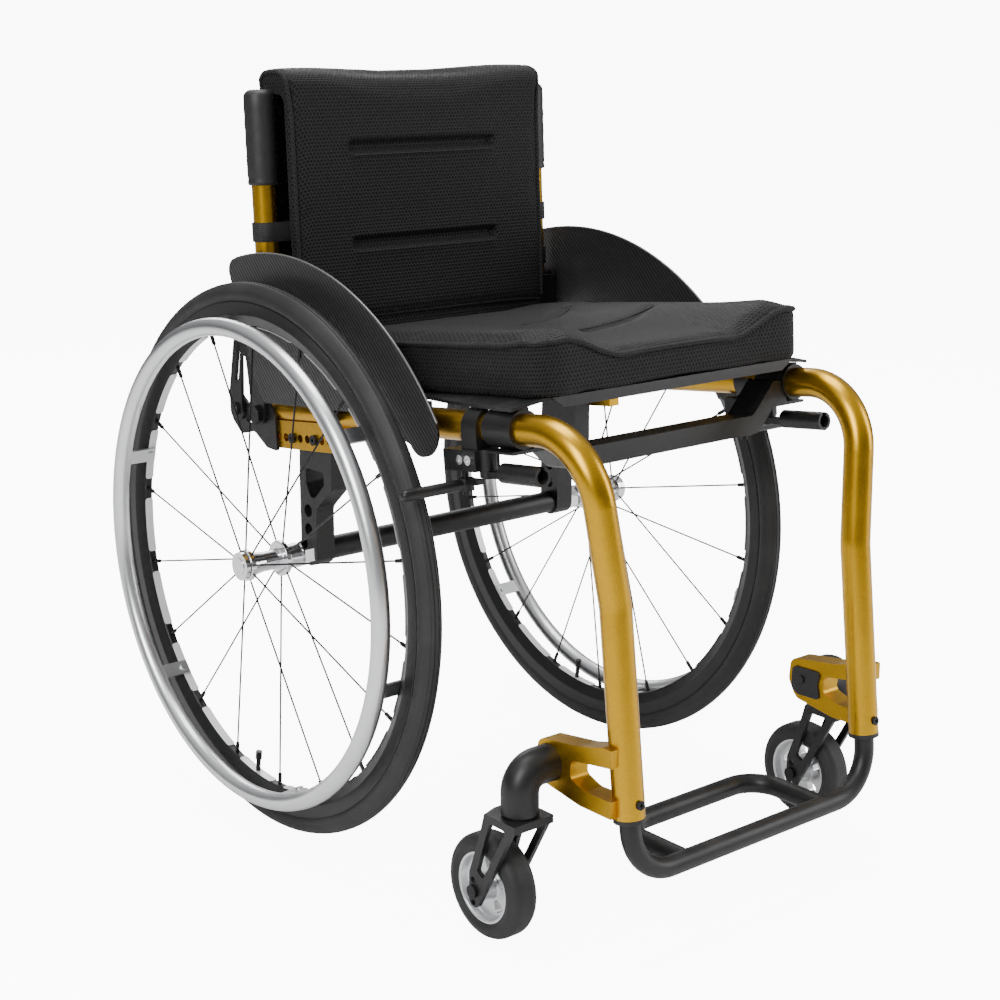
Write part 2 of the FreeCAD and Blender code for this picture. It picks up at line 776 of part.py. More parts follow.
def caster_fork():
    """A crown on its stem, with two open blades that reach back to the wheel's axle."""
    trail, axle = size.caster_trail, size.caster_radius
    top = size.crown_top
    corners = [
        (-21, top, 1), (23, top, 1), (30, 112, 30), (trail + 6, axle + 18, 6),
        (trail + 6.5, axle - 14, 7), (trail - 5, axle - 17, 6),
    ]
    window = [(-8, top - 8, 3), (15, top - 8, 3), (24, 104, 20), (34, 74, 3), (25, 69, 3)]
    spacing = 11.5
    blade = plate("fork_blade", corners, size.fork_half - size.fork_blade, size.fork_blade, [window])
    holes = [
        cylinder(3.2, 10, (size.fork_half - size.fork_blade - 2, trail, axle + up), "X")
        for up in (spacing, -spacing)
    ]
    pin_hole = cylinder(size.caster_bolt + 0.02, 10, (size.fork_half - size.fork_blade - 2, trail, axle), "X")
    one_side = cut(blade, *holes, pin_hole)
    crown_body = new_body("crown_plate")
    half = size.fork_half
    crown_corners = [(-half, -20, 0), (half, -20, 0), (half, 22, 0), (8, 28, 4), (-8, 28, 4), (-half, 22, 0)]
    pad(crown_body, outline_sketch(crown_body, "XY_Plane", crown_corners, top - 8), 8)
    collar = cylinder(15, size.housing_bottom - size.body_gap - top, (0, 0, top), "Z")
    stem = cylinder(size.stem_radius, 30, (0, 0, top), "Z")
    fork = fuse(crown_body, collar, stem, one_side, mirror(one_side))
    return place(group(fork), size.caster_x, size.axle_y - size.stem_forward, 0)


def caster_axle_point(x):
    return x, size.axle_y - size.stem_forward + size.caster_trail, size.caster_radius


def fork_bolt():
    """The caster's axle bolt with its two heads outside the blades, and the spacers beside the hub."""
    half = size.fork_half
    shank = cylinder(size.caster_bolt, half * 2, caster_axle_point(size.caster_x - half), "X")
    left = cylinder(6.5, 3, caster_axle_point(size.caster_x + half + 0.02), "X")
    right = cylinder(6.5, 3, caster_axle_point(size.caster_x - half - 3.02), "X")
    return fuse(shank, left, right)


def caster_tyre():
    """A solid rounded tyre."""
    body = new_body("caster_tyre_ring")
    half, radius = size.caster_half_width, size.caster_radius
    bead = 35.0
    corners = [
        (half - 4, bead, 0), (half - 1, 41, 5), (half - 4, radius - 3, 8), (8, radius, 9),
        (-8, radius, 9), (4 - half, radius - 3, 8), (1 - half, 41, 5), (4 - half, bead, 0),
    ]
    revolve(body, outline_sketch(body, "XY_Plane", corners))
    return place(body, *caster_axle_point(size.caster_x))


CASTER_SPOKES = 5


def caster_hub():
    """A machined wheel centre: rim band, web with windows, and boss with two bearings."""
    body = new_body("caster_centre")
    outer, band = 34.95, 30.5
    half = size.caster_half_width - 4
    boss = size.fork_half - size.fork_blade - 1
    bore = 8.0
    corners = [
        (half, outer, 0), (half, band + 2, 1), (5, band, 3), (4, 13, 2), (boss, 11, 1), (boss, bore, 0),
        (-boss, bore, 0), (-boss, 11, 1), (-4, 13, 2), (-5, band, 3), (-half, band + 2, 1), (-half, outer, 0),
    ]
    revolve(body, outline_sketch(body, "XY_Plane", corners))
    window = [(-7.5, 27.5, 3), (7.5, 27.5, 3), (3, 15.5, 2), (-3, 15.5, 2)]
    opening = outline_sketch(body, "YZ_Plane", window, -20)
    doc.recompute()
    first = pocket_through(body, opening, 40)
    pattern = body.newObject("PartDesign::PolarPattern", "windows")
    pattern.Originals = [first]
    pattern.Axis = (opening, ["N_Axis"])
    pattern.Angle = 360
    pattern.Occurrences = CASTER_SPOKES
    body.Tip = pattern
    place(body, *caster_axle_point(size.caster_x))
    inside = size.caster_bolt + size.running_gap
    bearings = [
        ring(bore - 0.02, inside, 6, caster_axle_point(size.caster_x + x), "X")
        for x in (boss - 6.2, 0.2 - boss)
    ]
    return group(body, *bearings)


# ---------------------------------------------------------------- seat

def seat_pan():
    """A formed sheet with drooping sides, pointed front corners and a folded front lip."""
    bottom, thick, drop = size.pan_bottom, size.pan_thickness, size.pan_drop
    half, side = size.pan_half, size.pan_side
    section = [
        (-side, bottom - drop, 0), (-half, bottom, 0), (half, bottom, 0), (side, bottom - drop, 0),
        (side, bottom - drop + thick, 0), (half, bottom + thick, 0),
        (-half, bottom + thick, 0), (-side, bottom - drop + thick, 0),
    ]
    sheet_body = new_body("pan_sheet")
    folds = outline_sketch(sheet_body, "XZ_Plane", section, size.pan_rear)
    pad(sheet_body, folds, size.pan_front - size.pan_rear)
    lip = size.lip_half
    outline_half = [(lip + 12, -size.pan_front, 0), (side, 12 - size.pan_front, 1), (side - 12, -250, 10),
                    (half - 2, -140, 10), (half - 2, -size.pan_rear, 6)]
    corners = outline_half + [(-u, v, r) for u, v, r in reversed(outline_half)]
    plan_body = new_body("pan_plan")
    pad(plan_body, outline_sketch(plan_body, "XY_Plane", corners), size.pan_bottom + 20)
    lip_body = new_body("pan_lip")
    lip_corners = [(lip + 12, bottom + thick, 0), (lip - 4, bottom + thick - size.lip_depth, 4),
                   (4 - lip, bottom + thick - size.lip_depth, 4), (-lip - 12, bottom + thick, 0)]
    pad(lip_body, outline_sketch(lip_body, "XZ_Plane", lip_corners, size.pan_front - 0.5), 3)
    return on_rails(fuse(common(sheet_body, plan_body), lip_body))


def seat_cushion():
    """A plain closed form in the cushion's place."""
    low = size.pan_bottom + size.pan_thickness + size.cushion_gap
    half, front, rear = size.cushion_half, -size.cushion_front, size.cushion_rear
    body = new_body("cushion_block")
    corners = [(-half, front, 28), (half, front, 28), (half, rear, 20), (-half, rear, 20)]
    pad(body, outline_sketch(body, "XY_Plane", corners, low), size.cushion_height)
    return on_rails(body)


def seat_mounts():
    """Saddles between the rail and the seat pan."""
    saddles = []
    for front in (-size.clamp_front + 4, size_of(-150)):
        post = box((size.rail_x - 10, front, 12), (size.rail_x + 8, front + 30, size.pan_bottom - 4.8))
        saddles.append(cut(post, rail_cylinder(size.clamp_radius + 0.02, front - 5, front + 40)))
    return on_rails(group(*saddles))


# ---------------------------------------------------------------- cross brace

def brace_clamp():
    """The band round the rail that holds one end of the cross brace."""
    front_end = (size.rail_x, -size.clamp_front, 0)
    return on_rails(ring(size.clamp_radius, size.tube_radius + 0.02, size.clamp_length, front_end, "Y"))


def cross_brace():
    """A pressed channel from rail to rail, rising in a gusset to each clamp."""
    end = size.rail_x - size.clamp_radius + 6
    top = -size.brace_top
    low = top - size.brace_height
    wing = [(end, 4, 2), (end, -19, 1), (size.rail_x + 14, -19.5, 1), (size.rail_x + 14, -22.5, 1),
            (end - 20, -22.5, 6), (end - 45, low, 14)]
    right = [(-u, v, r) for u, v, r in reversed(wing)]
    upper = [(18 - end, 4, 3), (50 - end, top, 14), (end - 50, top, 14), (end - 18, 4, 3)]
    body = new_body("brace_profile")
    depth = size.clamp_length - 4
    rear = size.clamp_front - size.clamp_length + 2
    pad(body, outline_sketch(body, "XZ_Plane", wing + right + upper, rear), depth)
    wall = size.brace_wall
    front = -size.clamp_front + 2
    hollow = box((60 - end, front + wall, low - 1), (end - 60, front + depth - wall, top - wall))
    bands = rail_cylinder(size.clamp_radius + 0.02, -size.clamp_front - 10, 0)
    return on_rails(cut(body, hollow, bands, mirror(bands)))


def frame_bolts():
    """Button-head bolts: two through each footrest joint, and two at each end of the brace."""
    foot, down = leg_axis()
    square = Vector(0, down.z, -down.y)
    seat = foot - down * 14
    face = size.tube_radius.value
    head = Part.makeCylinder(4.5, 2.4, seat + square * (face - 0.4), square)
    socket = Part.makeCylinder(1.8, 3, seat + square * (face + 0.8), square)
    return at_axle(from_shape("leg_bolt", head.cut(socket).cut(
        Part.makeCylinder(face + 0.01, 60, foot - down * 50, down))))


# ---------------------------------------------------------------- side guards

def side_guard():
    """A carbon panel between the seat and the wheel, with an arched top edge."""
    arc, axle = size.guard_arc.value, size.wheel_radius.value

    def on_arc(y):
        return Vector(0, y, axle + math.sqrt(arc * arc - y * y))

    rear_top, crest, front_tip = on_arc(84), on_arc(-120), on_arc(-262)
    toe = Vector(0, -246, 447)
    inner_toe = Vector(0, -222, 455)
    heel = Vector(0, 34, 457)
    back = Vector(0, 64, 506)
    rear_low = Vector(0, 97, 590)
    edges = [
        Part.Arc(rear_top, crest, front_tip).toShape(),
        Part.Arc(front_tip, Vector(0, -261, 458), toe).toShape(),
        Part.Arc(toe, Vector(0, -234, 446.5), inner_toe).toShape(),
        Part.LineSegment(inner_toe, Vector(0, -150, 474)).toShape(),
        Part.LineSegment(Vector(0, -150, 474), heel).toShape(),
        Part.Arc(heel, Vector(0, 51, 478), back).toShape(),
        Part.LineSegment(back, rear_low).toShape(),
        Part.Arc(rear_low, Vector(0, 95, 599), rear_top).toShape(),
    ]
    face = Part.Face(Part.Wire(edges))
    face.translate(Vector(size.guard_inner.value, 0, 0))
    return at_axle(from_shape("guard_panel", face.extrude(Vector(size.guard_thickness.value, 0, 0))))


def guard_clips():
    """Blocks that hold the guard off the rail, each with its screw."""
    clips = []
    for y in (-232.0, -85.0):
        block = box((size.rail_x + 6, y, -4), (size.guard_inner - 0.02, y + 22, 22))
        clips.append(cut(block, rail_cylinder(size.tube_radius + 0.02, -300, 100)))
    return on_rails(group(*clips))


# ---------------------------------------------------------------- backrest

def hinge_plate():
    """The fixed plate behind the rail that carries the fold pivot and the lock's rest."""
    corners = [
        (28, 404, 3), (48, 405, 4), (72, 419, 10), (98, 412, 12), (118, 428, 12), (116, 450, 10),
        (100, 458, 6), (84, 448, 6), (70, 452, 6), (66, 460, 6), (46, 460, 6), (30, 440, 6),
    ]
    body = plate("hinge_blank", corners, size.block_outer + 0.2, size.hinge_thickness, [
        [(84, 444, 3), (74, 440, 3), (76, 428, 3), (88, 426, 3)],
    ])
    bore = cylinder(size.pivot_bolt + 0.02, 12, (size.block_outer - 3, size.pivot_y, size.pivot_z), "X")
    return at_axle(cut(body, bore))


def pivot_bolt():
    """The bolt that the backrest folds on, with its knob."""
    start = (size.block_outer + 0.1, size.axle_y + size.pivot_y, size.pivot_z)
    leaves = size.hinge_thickness + size.swing_thickness
    outside = size.block_outer + 0.2 + leaves + size.body_gap * 2
    shank = cylinder(size.pivot_bolt, outside - start[0], start, "X")
    inner_head = cylinder(6, 3, (start[0] - 3, start[1], start[2]), "X")
    knob = hexagon(size_of(18), 5, (outside, start[1], start[2]))
    return group(fuse(shank, inner_head, knob))


def swing_bracket():
    """The forked plate that turns on the pivot and carries the foot of the cane in a clamp."""
    low_x = size.block_outer + 0.2 + size.hinge_thickness + size.body_gap
    pivot = size.pivot_y - size.cane_y
    corners = [
        (-8, -9, 8), (17, -9, 8), (19, 30, 6), (23, 62, 3), (32, 62, 3), (36, 18, 6), (34, -9, 8),
        (60, -9, 9), (60, 20, 8), (34, 122, 6), (-15, 122, 6), (-15, 88, 8),
    ]
    slot = [(14, 100, 4), (-4, 100, 4), (-2, 78, 4), (14, 78, 4)]
    rear_slot = [(35, 84, 1.2), (29, 84, 1.2), (40, 34, 1.2), (47, 34, 1.2)]
    blank = plate("swing_blank", corners, low_x, size.swing_thickness, [slot, rear_slot])
    pivot_at = (low_x - 3, pivot * cosine(size.cane_lean), pivot * sine(size.cane_lean))
    bolt_space = cylinder(size.pivot_bolt + size.running_gap, 10, pivot_at, "X")
    boss = cylinder(7, 3, (low_x + size.swing_thickness, 48, 2), "X")
    clamp = box((size.cane_x - 15.5, -15.5, size.cane_bottom), (low_x + 0.5, 15.5, size.cane_bottom + 34))
    bar_y, bar_z = size.back_bar_y, size.back_bar_z
    arm = box((size.cane_x - 8, 10, bar_z - 8), (size.cane_x + 8, bar_y, bar_z + 8))
    bar = cylinder(size.back_bar_radius + 0.02, 38.2, (size.cane_x - 30, bar_y, bar_z), "X")
    cane = cylinder(size.cane_radius + 0.02, 60, (size.cane_x, 0, size.cane_bottom + 4), "Z")
    return on_backrest(cut(fuse(cut(blank, bolt_space), boss, clamp, arm), cane, bar))


def back_cane():
    foot = (size.cane_x, 0, size.cane_bottom + 4.02)
    length = size.cane_top - size.cane_bottom - 4
    tube = ring(size.cane_radius, size.cane_radius - size.cane_wall, length, foot, "Z")
    return on_backrest(group(tube))


def cane_sleeve():
    """The padded pocket that slips over the top of a cane."""
    body = new_body("sleeve_shell")
    outer, inner = size.sleeve_radius, size.cane_radius + 0.1
    bottom, top = size.sleeve_bottom, size.sleeve_top
    corners = [
        (bottom, inner, 0), (bottom, outer - 1, 1), (bottom + 30, outer, 0), (top - 9, outer, 6),
        (top, outer - 9, 6), (top, 0, 0), (size.cane_top + 0.5, 0, 0), (size.cane_top + 0.5, inner, 0),
    ]
    revolve(body, outline_sketch(body, "XY_Plane", corners))
    upright = place(group(body), 0, 0, 0, Rotation(Vector(0, 1, 0), -90))
    return on_backrest(group(place(group(upright), size.cane_x, 0, 0)))


def back_bar():
    half = size.cane_x + 8
    left_end = (-half, size.back_bar_y, size.back_bar_z)
    return on_backrest(group(cylinder(size.back_bar_radius, half * 2, left_end, "X")))


STRAP_HEIGHTS = (132.0, 184.0)


def back_straps():
    """Tension straps that run round both canes behind the pad."""
    straps = []
    inner = size.cane_radius + 0.15
    outer = inner + size.strap_thickness
    for height in STRAP_HEIGHTS:
        top = size_of(height) + size.strap_width

        def loop(radius):
            left = cylinder(radius, size.strap_width, (size.cane_x, 0, height), "Z")
            middle = box((-size.cane_x, -radius, height), (size.cane_x, radius, top))
            return fuse(left, mirror(left), middle)
        straps.append(cut(loop(outer), loop(inner)))
    return on_backrest(group(*straps))


def back_pad():
    """The front pad, its turned-over top and the flap behind it, as one plain form."""
    front = -size.pad_front
    back = front + size.pad_thickness
    top = size.pad_top
    body = new_body("pad_slab")
    corners = [(-size.pad_half, size.pad_bottom, 10), (size.pad_half, size.pad_bottom, 10),
               (size.pad_half, top, 12), (-size.pad_half, top, 12)]
    pad(body, outline_sketch(body, "XZ_Plane", corners, -back), size.pad_thickness)
    half = size.flap_half
    cap = box((-half, back - 1, size.cane_top + 2), (half, 7, top - 2))
    flap = box((-half, 2.5, 152), (half, 6.5, top - 6))
    return on_backrest(fuse(body, cap, flap))


# ---------------------------------------------------------------- brakes

def brake_body():
    """The hook round the rail and the plate below it that carry the lever and the arm."""
    x, top, depth = size.brake_x, -size.brake_top, size.brake_depth
    plate_block = box((x - 15, -size.lever_pivot_y, top - depth), (x + 15, -size.arm_pivot_y + 12, top))
    nose = cylinder(9, depth, (x, -size.lever_pivot_y, top - depth), "Z")
    hook = rail_cylinder(size.tube_radius + 4, -312, -290)
    neck = box((size.rail_x + 4, -312, top - 2), (size.rail_x + 19, -290, 0))
    rail = rail_cylinder(size.tube_radius + 0.02, -400, -200)
    open_side = box((size.rail_x - 30, -330, 4), (size.rail_x + 2, -280, 30))
    shell = cut(fuse(plate_block, nose, hook, neck), rail, open_side)
    lever_pin = cylinder(3.5, 8, (x, -size.lever_pivot_y, top - depth - 8), "Z")
    arm_pin = cylinder(3.5, 26, (x, -size.arm_pivot_y, top - depth - 26), "Z")
    screws = [cylinder(3, 8, (x + 7.2, y, top - 9), "X") for y in (-292.0, -304.0)]
    return on_rails(cut(fuse(shell, lever_pin, arm_pin), *screws))


def brake_screws():
    """Two button-head screws in the side of each brake body."""
    x, z = size.brake_x, -size.brake_top - 9
    screws = []
    for y in (-292.0, -304.0):
        shank = cylinder(2.98, 7.8, (x + 7.4, y, z), "X")
        head = cylinder(4.6, 2.6, (x + 15.02, y, z), "X")
        socket = cylinder(1.8, 2, (x + 16.4, y, z), "X")
        screws.append(cut(fuse(shank, head), socket))
    return on_rails(group(*screws))


def brake_lever():
    """A short tube to push, on a tongue that turns about the lever's pin."""
    x, under = size.brake_x, -size.brake_top - size.brake_depth
    tip = -size.lever_pivot_y - size.lever_length
    root = -size.lever_pivot_y - 24
    axis = under - 1
    grip = cylinder(size.grip_radius, root - tip, (x, tip, axis), "Y")
    mouth = cylinder(size.grip_radius - 3, 30, (x, tip - 1, axis), "Y")
    slot = box((x - 2.5, tip - 1, axis), (x + 2.5, tip + 14, axis + 12))
    tongue = box((x - 6, root - 4, under - 6.3), (x + 6, -size.lever_pivot_y, under - 0.3))
    eye = cylinder(8, 6, (x, -size.lever_pivot_y, under - 6.3), "Z")
    hole = cylinder(3.5 + size.running_gap, 12, (x, -size.lever_pivot_y, under - 9), "Z")
    return on_rails(cut(fuse(grip, tongue, eye), mouth, slot, hole))


def brake_arm():
    """The link and rod that press on the tyre."""
    x, z = size.brake_x, -size.arm_drop
    radius = size.rod_radius
    eye = cylinder(8, 12, (x, -size.arm_pivot_y, z - 6), "Z")
    rod = cylinder(radius, size.rod_reach, (x, -size.arm_pivot_y, z), "X")
    tip = doc.addObject("Part::Sphere", "tip")
    bind(tip, "Radius", radius)
    place(tip, size_of(x) + size.rod_reach, -size.arm_pivot_y, z)
    link = box((x - 5, -size.lever_pivot_y + 12, z + 1), (x + 5, -size.arm_pivot_y, z + 6))
    hole = cylinder(3.5 + size.running_gap, 20, (x, -size.arm_pivot_y, z - 10), "Z")
    return on_rails(cut(fuse(eye, rod, tip, link), hole))


# ---------------------------------------------------------------- the chair

publish_sides("tyre", group(wheel_tyre()))
publish_sides("rim", wheel_rim())
publish_sides("spokes", wheel_spokes())
publish_sides("hub", wheel_hub())
publish_sides("handrim", group(handrim_ring(size.handrim_section)))
publish_sides("handrim_tabs", handrim_tabs())
publish_sides("axle_button", axle_button())
publish_sides("frame_tube", frame_tube())
publish_sides("caster_fork", caster_fork())
publish_sides("fork_bolt", fork_bolt())
publish_sides("caster_tyre", caster_tyre())
publish_sides("caster_hub", caster_hub())
publish_sides("side_guard", side_guard())
publish_sides("brake_lever", brake_lever())
publish_sides("brake_arm", brake_arm())
publish_pair("axle_pins", axle_pin())
publish_pair("tube_collars", tube_collar())
publish_pair("axle_rails", axle_rail())
publish_pair("rail_bolts", rail_bolts())
publish_pair("axle_brackets", axle_bracket())
publish_pair("axle_receivers", axle_receiver())
publish_pair("caster_arms", caster_arm())
publish_pair("arm_covers", arm_cover())
publish_pair("caster_housings", caster_housing())
publish_pair("stem_bearings", stem_bearings())
publish_pair("seat_mounts", seat_mounts())
publish_pair("brace_clamps", brace_clamp())
publish_pair("frame_bolts", frame_bolts())
publish_pair("guard_clips", guard_clips())
publish_pair("hinge_plates", hinge_plate())
publish_pair("pivot_bolts", pivot_bolt())
publish_pair("brake_bodies", brake_body())
publish_pair("brake_screws", brake_screws())
publish_pair("swing_brackets", swing_bracket())
publish_pair("back_canes", back_cane())
publish_pair("cane_sleeves", cane_sleeve())
publish("back_straps", back_straps())
publish("back_pad", back_pad())
publish("back_bar", back_bar())
publish("camber_tube", camber_tube())
publish("footrest_bow", footrest_bow())
publish("footrest_loop", footrest_loop())
publish("seat_pan", seat_pan())
publish("seat_cushion", seat_cushion())
publish("cross_brace", cross_brace())

doc.recompute()
for item in doc.Objects:
    if "Invalid" in item.State or "Error" in item.State:
        raise RuntimeError(f"{item.Name} ({item.Label}) failed: {item.State}")

os.makedirs("parts", exist_ok=True)
for name, piece in nodes.items():
    shape = piece.Shape
    if shape.isNull() or not shape.isValid():
        raise RuntimeError(f"{name} has no valid shape")
    shape.exportStep(f"parts/{name}.step")
print(len(nodes), "sub-parts")
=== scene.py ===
"""A manual wheelchair: finishes, soft goods and trim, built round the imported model.

Lengths are in metres.  +X is the user's left, -Y is the front and +Z is up.
"""

import logging
import math
from dataclasses import dataclass
from enum import Enum
from typing import Callable, Sequence

import bpy
import numpy as np
from mathutils import Matrix, Vector


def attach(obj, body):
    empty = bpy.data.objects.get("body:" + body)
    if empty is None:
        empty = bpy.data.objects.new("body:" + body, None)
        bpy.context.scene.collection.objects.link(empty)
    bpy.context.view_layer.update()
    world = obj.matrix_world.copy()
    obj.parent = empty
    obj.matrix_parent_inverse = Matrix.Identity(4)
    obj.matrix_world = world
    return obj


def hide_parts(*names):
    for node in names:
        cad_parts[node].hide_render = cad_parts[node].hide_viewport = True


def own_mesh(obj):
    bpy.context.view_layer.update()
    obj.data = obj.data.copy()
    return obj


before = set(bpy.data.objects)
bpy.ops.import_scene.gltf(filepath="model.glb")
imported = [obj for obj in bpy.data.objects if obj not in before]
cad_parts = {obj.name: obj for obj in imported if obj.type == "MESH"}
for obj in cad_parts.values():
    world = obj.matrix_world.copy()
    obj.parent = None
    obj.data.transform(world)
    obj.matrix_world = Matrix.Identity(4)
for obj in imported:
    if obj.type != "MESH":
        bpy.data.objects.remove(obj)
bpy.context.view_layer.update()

log = logging.getLogger("wheelchair")

Colour = tuple[float, float, float]
Node = bpy.types.Node
Piece = bpy.types.Object
Socket = bpy.types.NodeSocket
Outputs = dict[str, Socket]
Given = Callable[[str], Socket]

# The rear axle, and the frames that the rails and the backrest are drawn in.
AXLE = Vector((0.0, 0.10235, 0.295))
RAILS = (Matrix.Translation((0, AXLE.y, 0.4488))
         @ Matrix.Rotation(math.radians(-6.24), 4, "X"))
BACKREST = (Matrix.Translation((0, AXLE.y + 0.0527, 0.440))
            @ Matrix.Rotation(math.radians(-2.58), 4, "X"))


class Side(Enum):
    """The two sides of the chair, each with the sign of its X."""

    LEFT = 1
    RIGHT = -1

    @property
    def word(self) -> str:
        """The side as node and body names spell it."""
        return self.name.lower()


# ---------------------------------------------------------------- node graphs

class Graph:
    """Adds nodes to one tree and joins them."""

    def __init__(self, tree: bpy.types.NodeTree) -> None:
        """Start on a material's or a group's tree."""
        self.tree = tree

    def add(self, kind: str, **settings: object) -> Node:
        """Add a node and set its properties.

        Args:
            kind: the node's type name.
            **settings: property names and values.

        Returns:
            The new node.
        """
        node = self.tree.nodes.new(kind)
        for name, value in settings.items():
            setattr(node, name, value)
        return node

    def feed(self, socket: Socket, value: object) -> None:
        """Join a socket to another one, or give it a plain value.

        Args:
            socket: the input to fill.
            value: an output socket, a number, a place or a colour.
        """
        if isinstance(value, Socket):
            self.tree.links.new(value, socket)
        elif socket.type == "RGBA":
            socket.default_value = (*value, 1.0)
        else:
            socket.default_value = value

    def fill(self, node: Node, values: dict[str | int, object]) -> Node:
        """Feed some of a node's inputs.

        Args:
            node: the node.
            values: a value for each input's name or number.

        Returns:
            The same node.
        """
        for key, value in values.items():
            self.feed(node.inputs[key], value)
        return node

    def combine(self, kind: str, terms: Sequence[object], **settings: object) -> Node:
        """Add a node and feed its inputs in order."""
        return self.fill(self.add(kind, **settings), dict(enumerate(terms)))

    def math(self, operation: str, *terms: object, clamp: bool = False) -> Socket:
        """Combine numbers, and keep the result between 0 and 1 if asked."""
        settings = {"operation": operation, "use_clamp": clamp}
        return self.combine("ShaderNodeMath", terms, **settings).outputs[0]

    def vector(self, operation: str, *terms: object) -> Socket:
        """Combine vectors into a vector, or a number for length and dot product."""
        out = "Value" if operation in ("LENGTH", "DOT_PRODUCT") else "Vector"
        return self.combine("ShaderNodeVectorMath", terms, operation=operation).outputs[out]

    def ease(self, value: Socket, low: float, high: float) -> Socket:
        """A smooth step from 0 at low to 1 at high."""
        terms = (value, low, high, 0.0, 1.0)
        return self.combine("ShaderNodeMapRange", terms,
                            interpolation_type="SMOOTHSTEP").outputs[0]

    def noise(self, vector: Socket, scale: object, detail: float = 2.0) -> Socket:
        """Smooth noise between 0 and 1, of so many cells in a metre and finer layers."""
        values = {"Vector": vector, "Scale": scale, "Detail": detail}
        return self.fill(self.add("ShaderNodeTexNoise"), values).outputs[0]

    def mix(self, factor: Socket, first: object, second: object) -> Socket:
        """A colour between two others, the first at 0 and the second at 1."""
        node = self.add("ShaderNodeMix", data_type="RGBA")
        return self.fill(node, {0: factor, 6: first, 7: second}).outputs[2]


class Effect:
    """A shader node group that several finishes share, with a place and some numbers to read."""

    name = "effect"
    inputs: tuple[tuple[str, float], ...] = ()
    outputs: tuple[str, ...] = ()

    def wire(self, graph: Graph, given: Given) -> Outputs:
        """Build the inside of the group from its inputs and return its outputs."""
        raise NotImplementedError

    def tree(self) -> bpy.types.NodeTree:
        """The group's tree, built the first time it is asked for."""
        known = bpy.data.node_groups.get(self.name)
        if known is not None:
            return known
        tree = bpy.data.node_groups.new(self.name, "ShaderNodeTree")
        added = tree.interface.new_socket
        added(name="Place", in_out="INPUT", socket_type="NodeSocketVector")
        for name, default in self.inputs:
            socket = added(name=name, in_out="INPUT", socket_type="NodeSocketFloat")
            socket.default_value = default
        for name in self.outputs:
            added(name=name, in_out="OUTPUT", socket_type="NodeSocketFloat")
        graph = Graph(tree)
        source = graph.add("NodeGroupInput")
        sink = graph.add("NodeGroupOutput")
        for name, socket in self.wire(graph, lambda key: source.outputs[key]).items():
            graph.feed(sink.inputs[name], socket)
        return tree

    def place(self, graph: Graph, **values: object) -> Node:
        """Put the group in a material, with a value or a socket for each input."""
        return graph.fill(graph.add("ShaderNodeGroup", node_tree=self.tree()), values)


class FineGrain(Effect):
    """The small bumps of paint, with slow and fine changes of tone."""

    name = "fine_grain"
    inputs = (("Scale", 900.0),)
    outputs = ("Height", "Tone", "Sparkle")

    def wire(self, graph: Graph, given: Given) -> Outputs:
        """Two noises for the bumps, one slow for tone and one fine for sparkle."""
        place, scale = given("Place"), given("Scale")
        coarse = graph.noise(place, graph.math("MULTIPLY", scale, 0.35), 1.0)
        height = graph.math("MULTIPLY_ADD", coarse, 0.5, graph.noise(place, scale, 2.0))
        tone = graph.noise(place, 14.0, 3.0)
        finest = graph.noise(place, graph.math("MULTIPLY", scale, 1.9), 0.0)
        return {"Height": height, "Tone": tone, "Sparkle": graph.ease(finest, 0.5, 0.72)}


class EdgeRub(Effect):
    """Edges lightened for wear and as a painted highlight: near a corner the rounded normal leaves
    the true one.
    """

    name = "edge_rub"
    inputs = (("Radius", 0.001),)
    outputs = ("Rub",)

    def wire(self, graph: Graph, given: Given) -> Outputs:
        """Compare the rounded and the true normal, broken up by noise."""
        bevel = graph.fill(graph.add("ShaderNodeBevel", samples=4), {"Radius": given("Radius")})
        geometry = graph.add("ShaderNodeNewGeometry")
        likeness = graph.vector("DOT_PRODUCT", bevel.outputs[0], geometry.outputs["True Normal"])
        edge = graph.ease(graph.math("SUBTRACT", 1.0, likeness), 0.02, 0.22)
        patchy = graph.ease(graph.noise(given("Place"), 120.0, 3.0), 0.42, 0.62)
        return {"Rub": graph.math("MULTIPLY", edge, patchy)}


class Dust(Effect):
    """A thin film of dust on what faces up."""

    name = "dust"
    outputs = ("Dust",)

    def wire(self, graph: Graph, given: Given) -> Outputs:
        """Upward faces times a cloudy noise."""
        geometry = graph.add("ShaderNodeNewGeometry")
        up = graph.vector("DOT_PRODUCT", geometry.outputs["Normal"], (0.0, 0.0, 1.0))
        cloud = graph.ease(graph.noise(given("Place"), 40.0, 4.0), 0.35, 0.75)
        return {"Dust": graph.math("MULTIPLY", graph.ease(up, 0.3, 1.0), cloud)}


class HexHoles(Effect):
    """Spacer mesh: round holes in staggered rows, with ribs between them."""

    name = "hex_holes"
    inputs = (("Pitch", 0.0036),)
    outputs = ("Hole", "Height")

    def wire(self, graph: Graph, given: Given) -> Outputs:
        """The distance to the nearest hole of two interleaved square-cut grids."""
        tall = math.sqrt(3.0)
        cells = graph.vector("DIVIDE", given("Place"), given("Pitch"))
        cells = graph.vector("MULTIPLY", cells, (1.0, 1.0 / tall, 0.0))
        nearest = None
        for shift in (0.0, 0.5):
            moved = graph.vector("ADD", cells, (shift, shift, 0.0))
            inside = graph.vector("SUBTRACT", graph.vector("FRACTION", moved), (0.5, 0.5, 0.0))
            away = graph.vector("LENGTH", graph.vector("MULTIPLY", inside, (1.0, tall, 0.0)))
            nearest = away if nearest is None else graph.math("MINIMUM", nearest, away)
        height = graph.ease(nearest, 0.12, 0.48)
        hole = graph.math("SUBTRACT", 1.0, graph.ease(nearest, 0.24, 0.42))
        return {"Hole": hole, "Height": height}


